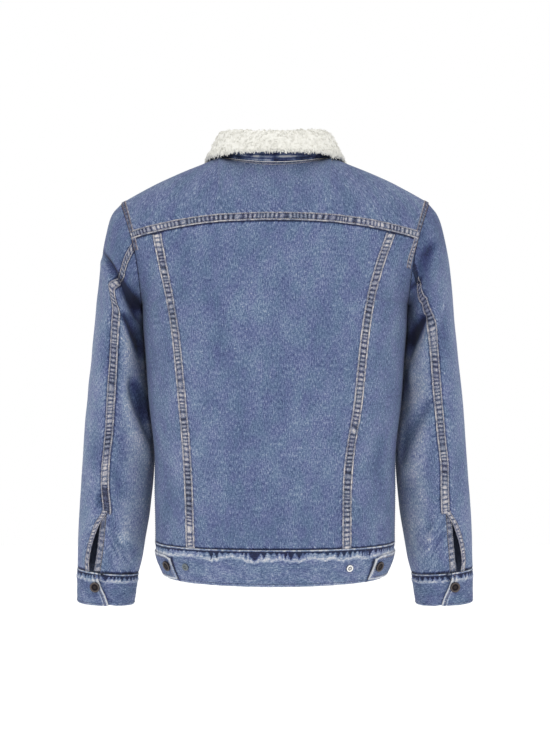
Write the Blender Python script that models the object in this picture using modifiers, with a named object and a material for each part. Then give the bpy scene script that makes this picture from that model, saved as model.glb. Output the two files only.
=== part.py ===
"""Denim jacket with a sherpa collar and lining, filled out as if it is worn.

Metres, +Z up. The front faces -Y and the wearer's left is +X. The origin is
the middle of the neck opening, at the height of the back neck seam, where the
wearer's shoulders carry the jacket.

Every panel is a region of one body surface or of one sleeve surface. Both are
worked out from the tables of sections below, so that neighbours meet along a
seam with SEAM_GAP between them.
"""
from math import acos, asin, cos, degrees, pi, radians, sin

import bmesh
import bpy
from mathutils import Matrix, Vector

# Cloth walls and gaps
DENIM = 0.0014
BAND_CLOTH = 0.0030
SHERPA = 0.0060
LINING = 0.0040
SEAM_GAP = 0.0004
LAYER_GAP = 0.0005
ARMHOLE_GAP = 0.0013
SLEEVE_SEAM_PULL = 0.00085
SHOULDER_GAP = 0.0007
COLLAR_GAP = 0.0018
BAND_GAP = 0.0007
YOKE_GAP = 0.0004

# Heights
SHOULDER_TIP_HEIGHT = -0.053
UNDERARM_HEIGHT = -0.212
YOKE_SEAM_HEIGHT = -0.116
CHEST_HEIGHT = -0.140
WAISTBAND_TOP = -0.575
HEM_HEIGHT = -0.6303
LINING_BOTTOM = -0.568

# Neck opening
NECK_HALF_WIDTH = 0.0865
NECK_BACK = 0.073
NECK_FRONT = -0.086
NECK_SIDE_Y = -0.002
NECK_SIDE_RISE = 0.014
NECK_FRONT_DROP = 0.070
NECK_FALL_POWER = 1.6
SHOULDER_BOW = 0.0020

# Front closing: the left front laps over the right
PLACKET_HALF_WIDTH = 0.020
UNDERLAP_EDGE = 0.017
UNDERLAP_RAMP = 0.014
UNDERLAP_DEPTH = 0.0019
UNDERLAP_EASE = 0.001
UNDERLAP_COLUMNS = 3

# Button band, waistband tabs, vents, cuffs and collar
PLACKET_PROUD = 0.0006
PLACKET_CLOTH = 0.0020
PLACKET_COLUMNS = 3
TAB_CLOTH = 0.0024
TAB_GAP = 0.0008
TAB_COLUMNS = 5
BAND_BACK_COLUMNS = 11
BAND_FRONT_COLUMNS = 5
BAND_ROWS = 2
BAND_LEAD = 0.01
TAB_START = 112
TAB_END_LEFT = 59
TAB_END_RIGHT = 55
TAB_BOTTOM = -0.626
TAB_TOP = -0.589
TAB_BUTTON_INSET = 4
TAB_BUTTON_HEIGHT = -0.605
STUD_TURN_LEFT = 48
STUD_TURN_RIGHT = 38
VENT_APEX_RING = 9.2
FACING_WIDTH = 0.010
FACING_CLOTH = 0.0012
FACING_INSET = 0.0027
FACING_FOOT = 0.001
CUFF_EDGE_TOP = 76
CUFF_EDGE_BOTTOM = 100
CUFF_HIDDEN_END = 48
CUFF_LAP = 5
CUFF_STEP = 20
CUFF_COLUMNS = 18
CUFF_BUTTON_TURN = 73
CUFF_BUTTON_RING = 0.85
COLLAR_END = 171
COLLAR_PLACES = (0, 1, 2, 2.5, 3, 3.5, 4, 5, 6)
STAND_BULGE = 0.6
LINING_GAP = 0.0012
LINING_MARGIN = 0.0012
LINING_TOP_MARGIN = 0.0060

# Buttons and studs
FRONT_BUTTON_LEVELS = (-0.160, -0.245, -0.330, -0.415, -0.500)
BUTTON_GAP = 0.0003
BUTTON_STEPS = 20
STUD_STEPS = 16

# Profiles of (radius, height), from the top of the axis down the outer side
BUTTON_PROFILE = (
    (0, 0.0031), (0.0050, 0.0033), (0.0068, 0.0037), (0.0081, 0.0028),
    (0.0080, 0.0009), (0.0062, 0.0), (0, 0.0),
)
STUD_PROFILE = (
    (0, 0.0016), (0.0026, 0.0014), (0.0040, 0.0024), (0.0057, 0.0015),
    (0.0057, 0.0), (0, 0.0),
)

# Columns of the panels' grids
SIDE_COLUMNS = 5
CENTRE_COLUMNS = 6
NECK_COLUMNS = 4
SHOULDER_COLUMNS = 4
OUTER_COLUMNS = 5
FRONT_NECK_COLUMNS = (3, 2)
PANEL_COLUMNS = OUTER_COLUMNS + len(FRONT_NECK_COLUMNS) + 1

# How the surfaces run
ARMHOLE_MIDDLE = (SHOULDER_TIP_HEIGHT + UNDERARM_HEIGHT) / 2
ARMHOLE_HALF_HEIGHT = (SHOULDER_TIP_HEIGHT - UNDERARM_HEIGHT) / 2
BODY_ROUNDNESS = 2.35
QUARTER = pi / 2
SEEK_STEPS = 4
COLUMN_PULL = 0.38
ARRIVAL_POWER = 3
SLIP_POWER = 6
STEP_DOWN = 0.01
SMALL_TURN = 0.01
ANTIQUE_ROUGHNESS = 0.4
NICKEL_ROUGHNESS = 0.25
DENIM_ROUGHNESS = 0.9


class Table:
    """Rows of named columns, read along a smooth curve through the rows."""

    def __init__(self, names, *rows):
        self.names = names.split()
        self.rows = sorted(rows)

    def column(self, name):
        place = self.names.index(name)
        return [row[place] for row in self.rows]

    def at(self, key, name):
        keys = self.column(self.names[0])
        values = self.column(name)
        key = min(max(key, keys[0]), keys[-1])
        last = len(keys) - 1
        low = max(i for i in range(last) if keys[i] <= key)
        slopes = []
        for i in (low, low + 1):
            before = max(i - 1, 0)
            after = min(i + 1, last)
            slopes.append((values[after] - values[before]) / (keys[after] - keys[before]))
        span = keys[low + 1] - keys[low]
        u = (key - keys[low]) / span
        start_pull = u * (1 - u) ** 2 * slopes[0] * span
        end_pull = u * u * (u - 1) * slopes[1] * span
        share = u * u * (3 - 2 * u)
        return values[low] * (1 - share) + values[low + 1] * share + start_pull + end_pull


BODY = Table(
    "height half_width back_depth back_rise front_depth",
    (-0.575, 0.1850, 0.1210, 0.000, 0.1160),
    (-0.500, 0.1860, 0.1260, 0.000, 0.1210),
    (-0.436, 0.1865, 0.1310, 0.000, 0.1250),
    (-0.360, 0.1950, 0.1370, 0.000, 0.1300),
    (-0.285, 0.2002, 0.1410, 0.002, 0.1340),
    (-0.245, 0.2036, 0.1418, 0.005, 0.1348),
    (-0.212, 0.2050, 0.1420, 0.008, 0.1350),
    (-0.165, 0.2100, 0.1390, 0.015, 0.1320),
    (-0.116, 0.2100, 0.1300, 0.022, 0.1250),
)

WAISTBAND = Table(
    "height half_width back_depth front_depth roundness",
    (-0.6303, 0.1690, 0.1205, 0.1160, 2.05),
    (-0.602, 0.1805, 0.1222, 0.1175, 2.20),
    (-0.575, 0.1862, 0.1222, 0.1172, 2.35),
)

BACK_SEAMS = Table(
    "height left_x right_x",
    (-0.575, 0.1255, -0.1060),
    (-0.456, 0.1290, -0.1080),
    (-0.360, 0.1365, -0.1220),
    (-0.266, 0.1460, -0.1317),
    (-0.208, 0.1560, -0.1416),
    (-0.161, 0.1660, -0.1550),
    (-0.116, 0.1755, -0.1720),
)

SLEEVE = Table(
    "ring outer_x outer_z inner_x inner_z middle_y half_depth bow back_seam front_seam",
    (0, 0.2370, -0.0530, 0.2050, -0.2120, 0.000, 0.0720, -0.0105, 90, -115),
    (1, 0.2520, -0.0720, 0.2074, -0.2150, -0.002, 0.0740, -0.0050, 90, -115),
    (2, 0.2610, -0.1010, 0.2071, -0.2195, -0.005, 0.0765, 0.0000, 90, -115),
    (3, 0.2690, -0.1380, 0.2066, -0.2260, -0.010, 0.0780, 0.0000, 90, -115),
    (4, 0.2750, -0.1800, 0.2056, -0.2360, -0.016, 0.0780, 0.0000, 90, -115),
    (5, 0.2795, -0.2250, 0.2044, -0.2540, -0.021, 0.0765, 0.0000, 90, -114),
    (6, 0.2860, -0.2850, 0.2016, -0.2950, -0.025, 0.0740, 0.0000, 89, -112),
    (7, 0.2945, -0.3600, 0.1970, -0.3630, -0.028, 0.0680, 0.0000, 87, -110),
    (8, 0.3010, -0.4360, 0.1895, -0.4390, -0.030, 0.0610, 0.0000, 84, -108),
    (9, 0.3065, -0.5140, 0.1950, -0.5180, -0.032, 0.0540, 0.0000, 82, -106),
    (10, 0.3100, -0.5870, 0.2075, -0.5940, -0.034, 0.0470, 0.0000, 81, -105),
    (11, 0.3112, -0.6220, 0.2155, -0.6310, -0.036, 0.0415, 0.0000, 81, -105),
)

CUFF = Table(
    "ring outer_x outer_z inner_x inner_z middle_y half_depth bow",
    (0, 0.3120, -0.6224, 0.2148, -0.6314, -0.036, 0.0424, 0.0),
    (1, 0.3122, -0.6500, 0.2185, -0.6560, -0.037, 0.0400, 0.0),
    (2, 0.3124, -0.6765, 0.2222, -0.6805, -0.038, 0.0375, 0.0),
)

VENT = Table(
    "ring opening",
    (9.20, 0.0),
    (9.45, 0.011),
    (9.90, 0.019),
    (10.5, 0.020),
    (11.0, 0.0165),
)

COLLAR = Table(
    "turn stand lean fold fall_out fall_up skew",
    (0, 0.0430, -0.0040, 0.0038, 0.0150, 0.0135, 0.000),
    (50, 0.0395, -0.0055, 0.0038, 0.0140, 0.0080, 0.000),
    (90, 0.0325, -0.0075, 0.0038, 0.0125, 0.0045, 0.000),
    (125, 0.0250, -0.0020, 0.0038, 0.0360, -0.0075, 0.002),
    (150, 0.0190, 0.0020, 0.0038, 0.0460, -0.0290, 0.012),
    (170, 0.0140, 0.0040, 0.0038, 0.0480, -0.0430, 0.030),
)

# Turns round the armhole, from the shoulder tip to the underarm, at which the
# body panels and the sleeves share their points
TURN_AT_YOKE = degrees(acos((YOKE_SEAM_HEIGHT - ARMHOLE_MIDDLE) / ARMHOLE_HALF_HEIGHT))
TURN_AT_CHEST = degrees(acos((CHEST_HEIGHT - ARMHOLE_MIDDLE) / ARMHOLE_HALF_HEIGHT))
BACK_EDGE_TURNS = (0, 20, 40, 59, TURN_AT_YOKE, 90, 118, 149, 180)
FRONT_EDGE_TURNS = (0, 20, 40, 59, 77, TURN_AT_CHEST, 115, 147, 180)
LOW_LEVELS = (-0.575, -0.525, -0.475, -0.430, -0.375, -0.325, -0.280, -0.245)
SLEEVE_RINGS = (0, 0.9, 1.9, 3.0, 4.0, 5.0, 6.0, 7.1, 8.2, 9.2, 9.45, 9.9, 10.5, 11)

# How a column of cloth arrives at the neck and at the shoulder seam
BACK_NECK_ARRIVAL = Vector((0, 0.026, -0.032))
BACK_SHOULDER_ARRIVAL = Vector((0, 0.046, 0.015))
FRONT_NECK_ARRIVAL = Vector((0, -0.018, -0.019))
FRONT_SHOULDER_ARRIVAL = Vector((0, -0.042, -0.019))

DENIM_BLUE = (0.145, 0.180, 0.300)
DENIM_DARK = (0.070, 0.090, 0.160)
CREAM = (0.820, 0.800, 0.740)
DARK_METAL = (0.060, 0.055, 0.055)
NICKEL = (0.700, 0.700, 0.700)

COLLECTION = bpy.data.collections.new("sherpa_lined_jacket")


def level_of(turn_degrees):
    """Height of the armhole's edge at a turn."""
    return ARMHOLE_MIDDLE + ARMHOLE_HALF_HEIGHT * cos(radians(turn_degrees))


def turn_of(level):
    """Turn round the armhole at which its edge has this height."""
    share = (level - ARMHOLE_MIDDLE) / ARMHOLE_HALF_HEIGHT
    return acos(min(max(share, -1), 1))


def tube_point(table, ring, turn):
    """Point on the left sleeve or cuff: a turn of 0 is outermost, QUARTER the back."""
    outer = Vector((table.at(ring, "outer_x"), 0, table.at(ring, "outer_z")))
    inner = Vector((table.at(ring, "inner_x"), 0, table.at(ring, "inner_z")))
    point = (outer + inner) / 2 + (outer - inner) / 2 * cos(turn)
    point.x += table.at(ring, "bow") * sin(turn) ** 2
    point.y = table.at(ring, "middle_y") + table.at(ring, "half_depth") * sin(turn)
    return point


def edge_point(level, back):
    """Side seam of the left half, and the armhole above the underarm."""
    if level <= UNDERARM_HEIGHT:
        return Vector((BODY.at(level, "half_width"), 0, level))
    turn = turn_of(level)
    return tube_point(SLEEVE, 0, turn if back else -turn)


def wrapped(half_width, depth, roundness, x):
    """Depth of a rounded section at x."""
    share = min(abs(x) / half_width, 1)
    return depth * (1 - share ** roundness) ** (1 / roundness)


def low_body_point(turn, level, back):
    """Body below the yoke or the chest: a turn of 0 is the centre line.

    Turns run clockwise round the body: towards -X on the back, +X on the front.
    """
    edge = edge_point(level, back)
    depth = BODY.at(level, "back_depth" if back else "front_depth")
    reach = (abs(edge.y) / depth) ** BODY_ROUNDNESS
    half_width = edge.x / (1 - reach) ** (1 / BODY_ROUNDNESS)
    x = edge.x * sin(turn)
    y = wrapped(half_width, depth, BODY_ROUNDNESS, x)
    if back:
        rise = BODY.at(level, "back_rise") * cos(turn) ** 2
        return Vector((-x, y, level + rise))
    return Vector((x, -y, level))


def neck_point(turn):
    """Neck seam: a turn of 0 is the back centre, pi the front centre."""
    x = NECK_HALF_WIDTH * sin(turn)
    if cos(turn) > 0:
        y = NECK_SIDE_Y + (NECK_BACK - NECK_SIDE_Y) * cos(turn)
        return Vector((x, y, NECK_SIDE_RISE * sin(turn) ** 2))
    y = NECK_SIDE_Y + (NECK_SIDE_Y - NECK_FRONT) * cos(turn)
    fall = (NECK_SIDE_RISE + NECK_FRONT_DROP) * abs(cos(turn)) ** NECK_FALL_POWER
    return Vector((x, y, NECK_SIDE_RISE - fall))


def top_point(turn, back):
    """Neck seam and shoulder seams as one line, from armhole to armhole."""
    tip = tube_point(SLEEVE, 0, 0)
    reach = abs(sin(turn)) * tip.x
    if reach <= NECK_HALF_WIDTH:
        round_neck = asin(reach / NECK_HALF_WIDTH)
        point = neck_point(round_neck if back else pi - round_neck)
    else:
        share = (reach - NECK_HALF_WIDTH) / (tip.x - NECK_HALF_WIDTH)
        point = neck_point(QUARTER).lerp(tip, share)
        point.z += SHOULDER_BOW * sin(pi * share)
    if (turn > 0) == back:
        point.x = -point.x
    return point


def bezier(start, first, second, end, t):
    """Point on a cubic curve."""
    u = 1 - t
    return start * u ** 3 + first * 3 * u * u * t + second * 3 * u * t * t + end * t ** 3


def high_body_curve(turn, t, back):
    """Column of cloth from the yoke seam or the chest up to the top line."""
    level = YOKE_SEAM_HEIGHT if back else CHEST_HEIGHT
    start = low_body_point(turn, level, back)
    climb = (start - low_body_point(turn, level - STEP_DOWN, back)).normalized()
    end = top_point(turn, back)
    pull = COLUMN_PULL * (end - start).length
    neck_arrival = BACK_NECK_ARRIVAL if back else FRONT_NECK_ARRIVAL
    shoulder_arrival = BACK_SHOULDER_ARRIVAL if back else FRONT_SHOULDER_ARRIVAL
    reach = min(abs(sin(turn)) * tube_point(SLEEVE, 0, 0).x / NECK_HALF_WIDTH, 1)
    arrival = neck_arrival.lerp(shoulder_arrival, reach ** ARRIVAL_POWER)
    return bezier(start, start + climb * pull, end + arrival, end, t)


def body_point(turn, level, back):
    """Body surface from the waistband to the neck and shoulder seams."""
    top_level = YOKE_SEAM_HEIGHT if back else CHEST_HEIGHT
    if level <= top_level:
        return low_body_point(turn, level, back)
    t = 1 - turn_of(level) / turn_of(top_level)
    side = QUARTER if turn >= 0 else -QUARTER
    armhole = edge_point(level, back)
    if (turn >= 0) == back:
        armhole.x = -armhole.x
    slip = armhole - high_body_curve(side, t, back)
    return high_body_curve(turn, t, back) + slip * abs(sin(turn)) ** SLIP_POWER


def band_point(turn, level):
    """Waistband all round: a turn of 0 is the back centre, pi the front."""
    depth = WAISTBAND.at(level, "back_depth" if cos(turn) >= 0 else "front_depth")
    half_width = WAISTBAND.at(level, "half_width")
    x = half_width * sin(turn)
    y = wrapped(half_width, depth, WAISTBAND.at(level, "roundness"), x)
    return Vector((-x, y if cos(turn) >= 0 else -y, level))


def back_body(turn, level):
    return body_point(turn, level, True)


def front_body(turn, level):
    return body_point(turn, level, False)


def sleeve_surface(turn, climb):
    """Left sleeve, with its rings counted upwards as negative numbers."""
    return tube_point(SLEEVE, -climb, turn)


def cuff_surface(turn, climb):
    return tube_point(CUFF, -climb, turn)


def normal_at(surface, u, v, step_u=0.01, step_v=0.002, u_limit=None, v_limit=None):
    """Outward direction of a surface, from points just beside the given one."""
    u_low = u - step_u if u_limit is None else max(u - step_u, -u_limit)
    u_high = u + step_u if u_limit is None else min(u + step_u, u_limit)
    v_high = v + step_v if v_limit is None else min(v + step_v, v_limit)
    along = surface(u_high, v) - surface(u_low, v)
    up = surface(u, v_high) - surface(u, v - step_v)
    return along.cross(up).normalized()


def off_body(surface, turn, level, distance):
    """Point of the body's back or front, moved out."""
    normal = normal_at(surface, turn, level, u_limit=QUARTER, v_limit=SHOULDER_TIP_HEIGHT)
    return surface(turn, level) + normal * distance


def off_tube(surface, turn, climb, distance):
    """Point of a sleeve, cuff or waistband, moved out."""
    return surface(turn, climb) + normal_at(surface, turn, climb) * distance


def turn_at_x(surface, level, x):
    """Turn at which the body's back or front has this x at a level."""
    side = -1 if surface is back_body else 1
    share = side * x / edge_point(level, True).x
    for _ in range(SEEK_STEPS):
        found = surface(asin(share), level).x
        share *= x / found
    return asin(share)


def opened(rows, first_row=SEAM_GAP / 2, last_row=SEAM_GAP / 2,
           first_column=SEAM_GAP / 2, last_column=SEAM_GAP / 2):
    """Grid of points whose edges are pulled in, to leave the seams' gaps."""
    pulls = (
        (0, 1, first_row, True),
        (-1, -2, last_row, True),
        (0, 1, first_column, False),
        (-1, -2, last_column, False),
    )
    rows = [[point.copy() for point in row] for row in rows]
    for edge, inside, gap, is_row in pulls:
        count = len(rows[0]) if is_row else len(rows)
        for i in range(count):
            near = rows[edge][i] if is_row else rows[i][edge]
            far = rows[inside][i] if is_row else rows[i][inside]
            near += (far - near).normalized() * gap
    return rows


def make_material(name, colour, roughness, metallic):
    """Principled material for one piece."""
    material = bpy.data.materials.new(name)
    material.use_nodes = True
    shader = material.node_tree.nodes["Principled BSDF"]
    shader.inputs["Base Color"].default_value = (*colour, 1)
    shader.inputs["Roughness"].default_value = roughness
    shader.inputs["Metallic"].default_value = metallic
    return material


def cloth(name, rows, thickness, colour, mirrored=False, outwards=False, moved=0):
    """Wall of cloth on a grid of points, thickened inwards unless told.

    It can first be moved out of the grid it shares with another piece.

    Rows run upwards and columns run so that their cross product faces out.
    The quads' diagonals are mirrored about the jacket's middle.
    """
    side = -1 if mirrored else 1
    mesh = bpy.data.meshes.new(name)
    form = bmesh.new()
    grid = [[form.verts.new((side * p.x, p.y, p.z)) for p in row] for row in rows]
    for low, high in zip(grid, grid[1:]):
        for i in range(len(low) - 1):
            corners = [low[i], low[i + 1], high[i + 1], high[i]]
            if low[i].co.x > 0:
                corners = corners[1:] + corners[:1]
            form.faces.new(corners[::side])
    bmesh.ops.triangulate(form, faces=form.faces, quad_method="FIXED")
    form.to_mesh(mesh)
    form.free()
    piece = bpy.data.objects.new(name, mesh)
    if moved:
        layer = piece.modifiers.new("Layer", "DISPLACE")
        layer.strength = moved
        layer.mid_level = 0
    wall = piece.modifiers.new("Wall", "SOLIDIFY")
    wall.thickness = thickness
    wall.offset = 1 if outwards else -1
    mesh.materials.append(make_material(name, colour, DENIM_ROUGHNESS, 0))
    mesh.shade_smooth()
    COLLECTION.objects.link(piece)
    return piece


def turned(name, profile, steps, colour, roughness, metallic, centre, facing):
    """Solid turned from a profile of (radius, height), facing a direction."""
    mesh = bpy.data.meshes.new(name)
    form = bmesh.new()
    points = [form.verts.new((radius, 0, height)) for radius, height in profile]
    for start, end in zip(points, points[1:]):
        form.edges.new((start, end))
    form.to_mesh(mesh)
    form.free()
    piece = bpy.data.objects.new(name, mesh)
    screw = piece.modifiers.new("Turn", "SCREW")
    screw.steps = steps
    screw.render_steps = steps
    screw.use_merge_vertices = True
    screw.merge_threshold = 0.00001
    mesh.materials.append(make_material(name, colour, roughness, metallic))
    spin = facing.to_track_quat("Z", "Y").to_matrix().to_4x4()
    piece.matrix_world = Matrix.Translation(centre) @ spin
    COLLECTION.objects.link(piece)
    return piece


def back_seam_turn(level, side):
    """Turn of a curved back seam: side is left or right."""
    return turn_at_x(back_body, level, BACK_SEAMS.at(level, side + "_x"))


def back_levels():
    edges = [level_of(turn) for turn in BACK_EDGE_TURNS if turn >= TURN_AT_YOKE]
    return list(LOW_LEVELS) + edges[::-1]


def spaced(start, end, count):
    """Turns from start to end, evenly spaced."""
    return [start + (end - start) * i / count for i in range(count + 1)]


def back_turns(level):
    """Turns of the back's columns: the curved seams, then on the yoke the neck points."""
    low_level = min(level, YOKE_SEAM_HEIGHT)
    left = back_seam_turn(low_level, "left")
    right = back_seam_turn(low_level, "right")
    turns = spaced(-QUARTER, left, SIDE_COLUMNS)[:-1] + spaced(left, right, CENTRE_COLUMNS)
    turns += spaced(right, QUARTER, SIDE_COLUMNS)[1:]
    neck = asin(NECK_HALF_WIDTH / tube_point(SLEEVE, 0, 0).x)
    half = [asin(sin(neck) * sin(QUARTER * i / NECK_COLUMNS)) for i in range(NECK_COLUMNS)]
    half += spaced(neck, QUARTER, SHOULDER_COLUMNS)
    tops = [-turn for turn in half[:0:-1]] + half
    climb = 1 - turn_of(max(level, YOKE_SEAM_HEIGHT)) / turn_of(YOKE_SEAM_HEIGHT)
    return [turn + (top - turn) * climb for turn, top in zip(turns, tops)]


def make_back():
    """Centre and side back panels, from the waistband to the yoke seam."""
    rows = [[back_body(turn, level) for turn in back_turns(level)] for level in back_levels()]
    second = SIDE_COLUMNS + CENTRE_COLUMNS
    for name, first, last in (("back_side_left", 0, SIDE_COLUMNS),
                              ("back_centre", SIDE_COLUMNS, second),
                              ("back_side_right", second, len(rows[0]) - 1)):
        cloth(name, opened([row[first:last + 1] for row in rows]), DENIM, DENIM_BLUE)


def yoke_levels():
    edges = [level_of(turn) for turn in BACK_EDGE_TURNS if turn < TURN_AT_YOKE]
    return [YOKE_SEAM_HEIGHT] + edges[::-1]


def make_yoke():
    """Back yoke, from its seam over the shoulders to the shoulder seams."""
    rows = [[back_body(turn, level) for turn in back_turns(level)] for level in yoke_levels()]
    cloth("back_yoke", opened(rows, YOKE_GAP, SHOULDER_GAP), DENIM, DENIM_BLUE)


def front_levels():
    edges = [level_of(turn) for turn in FRONT_EDGE_TURNS]
    return list(LOW_LEVELS) + edges[::-1]


def underlap_depth(x):
    """How far the right front lies below the left front's band at x."""
    share = (x + PLACKET_HALF_WIDTH + UNDERLAP_RAMP + UNDERLAP_EASE) / UNDERLAP_RAMP
    return UNDERLAP_DEPTH * min(max(share, 0), 1)


def front_turns(level, side):
    """Turns of a front's columns, from the side seam to its front edge."""
    share = side * NECK_HALF_WIDTH / tube_point(SLEEVE, 0, 0).x
    start = turn_at_x(front_body, level, side * (PLACKET_HALF_WIDTH + UNDERLAP_RAMP))
    panel = spaced(side * QUARTER, asin(share), OUTER_COLUMNS)
    panel += [asin(share * sin(QUARTER * i / NECK_COLUMNS)) for i in FRONT_NECK_COLUMNS]
    if side > 0:
        return panel + [start, turn_at_x(front_body, level, PLACKET_HALF_WIDTH)]
    return panel + spaced(start, turn_at_x(front_body, level, UNDERLAP_EDGE), UNDERLAP_COLUMNS)


def make_fronts():
    """Left front up to its button band, and right front with its underlap."""
    for name, side in (("front_left", 1), ("front_right", -1)):
        rows = []
        for level in front_levels():
            row = []
            for turn in front_turns(level, side):
                depth = underlap_depth(front_body(turn, level).x) if side < 0 else 0
                row.append(off_body(front_body, turn, level, -depth))
            rows.append(row[::-side])
        cloth(name, opened(rows, SEAM_GAP, SHOULDER_GAP, SEAM_GAP, SEAM_GAP), DENIM, DENIM_BLUE)


def placket_point(x, level, distance):
    turn = turn_at_x(front_body, level, x)
    return off_body(front_body, turn, level, distance)


def make_placket():
    """Button band on the left front, over the right front's underlap."""
    rows = []
    for level in front_levels():
        across = spaced(-PLACKET_HALF_WIDTH, PLACKET_HALF_WIDTH, PLACKET_COLUMNS)
        rows.append([placket_point(x, level, PLACKET_PROUD) for x in across])
    cloth("front_placket", opened(rows), PLACKET_CLOTH, DENIM_BLUE)


def make_waistband():
    """Band round the waist, its left end lapped over its right end."""
    half_width = WAISTBAND.at(HEM_HEIGHT, "half_width")
    lap = asin(PLACKET_HALF_WIDTH / half_width)
    ramp = asin((PLACKET_HALF_WIDTH + UNDERLAP_RAMP) / half_width)
    under = asin(UNDERLAP_EDGE / half_width)
    stops = [radians(stop) for stop in (-TAB_START, -TAB_END_LEFT, TAB_END_RIGHT, TAB_START)]
    turns = [-pi - lap, -pi] + spaced(-pi + lap, stops[0], BAND_FRONT_COLUMNS)[:-1]
    turns += spaced(stops[0], stops[1], TAB_COLUMNS)[:-1]
    turns += spaced(stops[1], stops[2], BAND_BACK_COLUMNS)[:-1]
    turns += spaced(stops[2], stops[3], TAB_COLUMNS)[:-1]
    turns += spaced(stops[3], pi - ramp, BAND_FRONT_COLUMNS)
    turns += [pi - lap - BAND_LEAD, pi, pi + under]
    depth = BAND_CLOTH + LAYER_GAP
    rows = []
    for level in spaced(HEM_HEIGHT, WAISTBAND_TOP - BAND_GAP, BAND_ROWS):
        row = [off_tube(band_point, turn, level, 0) for turn in turns[:-3]]
        row += [off_tube(band_point, turn, level, -depth) for turn in turns[-3:]]
        rows.append(row)
    cloth("waistband", opened(rows), BAND_CLOTH, DENIM_BLUE)


def make_tabs():
    """Side adjuster tabs on the waistband, with a button, and a stud beyond."""
    for side, end, stud in ((-1, TAB_END_LEFT, STUD_TURN_LEFT),
                            (1, TAB_END_RIGHT, STUD_TURN_RIGHT)):
        name = "left" if side < 0 else "right"
        turns = spaced(radians(end), radians(TAB_START), TAB_COLUMNS)
        turns = [side * turn for turn in turns][::side]
        out = TAB_GAP + TAB_CLOTH
        rows = []
        for level in spaced(TAB_BOTTOM, TAB_TOP, BAND_ROWS):
            rows.append([off_tube(band_point, turn, level, out) for turn in turns])
        cloth("waist_tab_" + name, rows, TAB_CLOTH, DENIM_BLUE)
        button_turn = side * radians(end + TAB_BUTTON_INSET)
        normal = normal_at(band_point, button_turn, TAB_BUTTON_HEIGHT)
        centre = band_point(button_turn, TAB_BUTTON_HEIGHT) + normal * (out + BUTTON_GAP)
        turned("waist_tab_button_" + name, BUTTON_PROFILE, BUTTON_STEPS,
               DARK_METAL, ANTIQUE_ROUGHNESS, 1, centre, normal)
        normal = normal_at(band_point, side * radians(stud), TAB_BUTTON_HEIGHT)
        centre = band_point(side * radians(stud), TAB_BUTTON_HEIGHT) + normal * BUTTON_GAP
        turned("waist_stud_" + name, STUD_PROFILE, STUD_STEPS, NICKEL, NICKEL_ROUGHNESS, 1,
               centre, normal)


def sleeve_turns(ring, upper):
    """Turns of the columns of an upper or an under sleeve at a ring."""
    back = radians(SLEEVE.at(ring, "back_seam"))
    front = radians(SLEEVE.at(ring, "front_seam"))
    shared = sorted({-turn for turn in FRONT_EDGE_TURNS} | set(BACK_EDGE_TURNS))
    first_back = SLEEVE.at(0, "back_seam")
    first_front = SLEEVE.at(0, "front_seam")
    if upper:
        turns = [turn for turn in shared if first_front <= turn <= first_back]
        start, end = front, back
    else:
        turns = [turn for turn in shared if turn >= first_back]
        turns += [turn + 360 for turn in shared if turn <= first_front and turn > -180]
        start, end = back, front + 2 * pi
    shares = [(turn - turns[0]) / (turns[-1] - turns[0]) for turn in turns]
    if upper:
        end -= vent_turn(ring)
    return [start + (end - start) * share for share in shares]


def vent_turn(ring):
    """Turn by which the vent parts the upper sleeve from the back seam."""
    return VENT.at(ring, "opening") / SLEEVE.at(ring, "half_depth")


def make_sleeves():
    """Upper and under sleeves, and the facing strip inside each vent."""
    for mirrored in (False, True):
        side = "right" if mirrored else "left"
        for name, upper in (("sleeve_upper_", True), ("sleeve_under_", False)):
            rows = []
            for ring in SLEEVE_RINGS[::-1]:
                rows.append([tube_point(SLEEVE, ring, turn) for turn in sleeve_turns(ring, upper)])
            rows = opened(rows, SEAM_GAP, ARMHOLE_GAP, SLEEVE_SEAM_PULL, SLEEVE_SEAM_PULL)
            cloth(name + side, rows, DENIM, DENIM_BLUE, mirrored)
        rows = []
        for ring in [ring for ring in SLEEVE_RINGS if ring >= VENT_APEX_RING][::-1]:
            back = radians(SLEEVE.at(ring, "back_seam"))
            reach = FACING_WIDTH / SLEEVE.at(ring, "half_depth")
            turns = spaced(back - reach, back, 2)
            rows.append([off_tube(sleeve_surface, turn, -ring, -FACING_INSET) for turn in turns])
        cloth("sleeve_vent_facing_" + side, opened(rows, first_row=FACING_FOOT), FACING_CLOTH,
              DENIM_DARK, mirrored)


def cuff_turns(ring):
    """Turns of a cuff's columns: hidden end first, then round to the lapped end."""
    edge = CUFF_EDGE_TOP + (CUFF_EDGE_BOTTOM - CUFF_EDGE_TOP) * ring / 2
    hidden = [CUFF_HIDDEN_END, (CUFF_HIDDEN_END + edge) / 2, edge + CUFF_LAP]
    shown = spaced(edge + CUFF_STEP, 360 + edge, CUFF_COLUMNS)
    return [radians(turn) for turn in hidden], [radians(turn) for turn in shown]


def make_cuffs():
    """Cuffs with a lapped end and its button."""
    for mirrored in (False, True):
        side = "right" if mirrored else "left"
        rows = []
        for ring in (2, 1, 0):
            hidden, shown = cuff_turns(ring)
            row = [off_tube(cuff_surface, turn, -ring, -BAND_CLOTH - LAYER_GAP) for turn in hidden]
            row += [tube_point(CUFF, ring, turn) for turn in shown]
            rows.append(row)
        cloth("cuff_" + side, rows, BAND_CLOTH, DENIM_BLUE, mirrored)
        turn = radians(CUFF_BUTTON_TURN)
        normal = normal_at(cuff_surface, turn, -CUFF_BUTTON_RING)
        centre = cuff_surface(turn, -CUFF_BUTTON_RING) + normal * BUTTON_GAP
        if mirrored:
            normal.x = -normal.x
            centre.x = -centre.x
        turned("cuff_button_" + side, BUTTON_PROFILE, BUTTON_STEPS, DARK_METAL,
               ANTIQUE_ROUGHNESS, 1, centre, normal)


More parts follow.
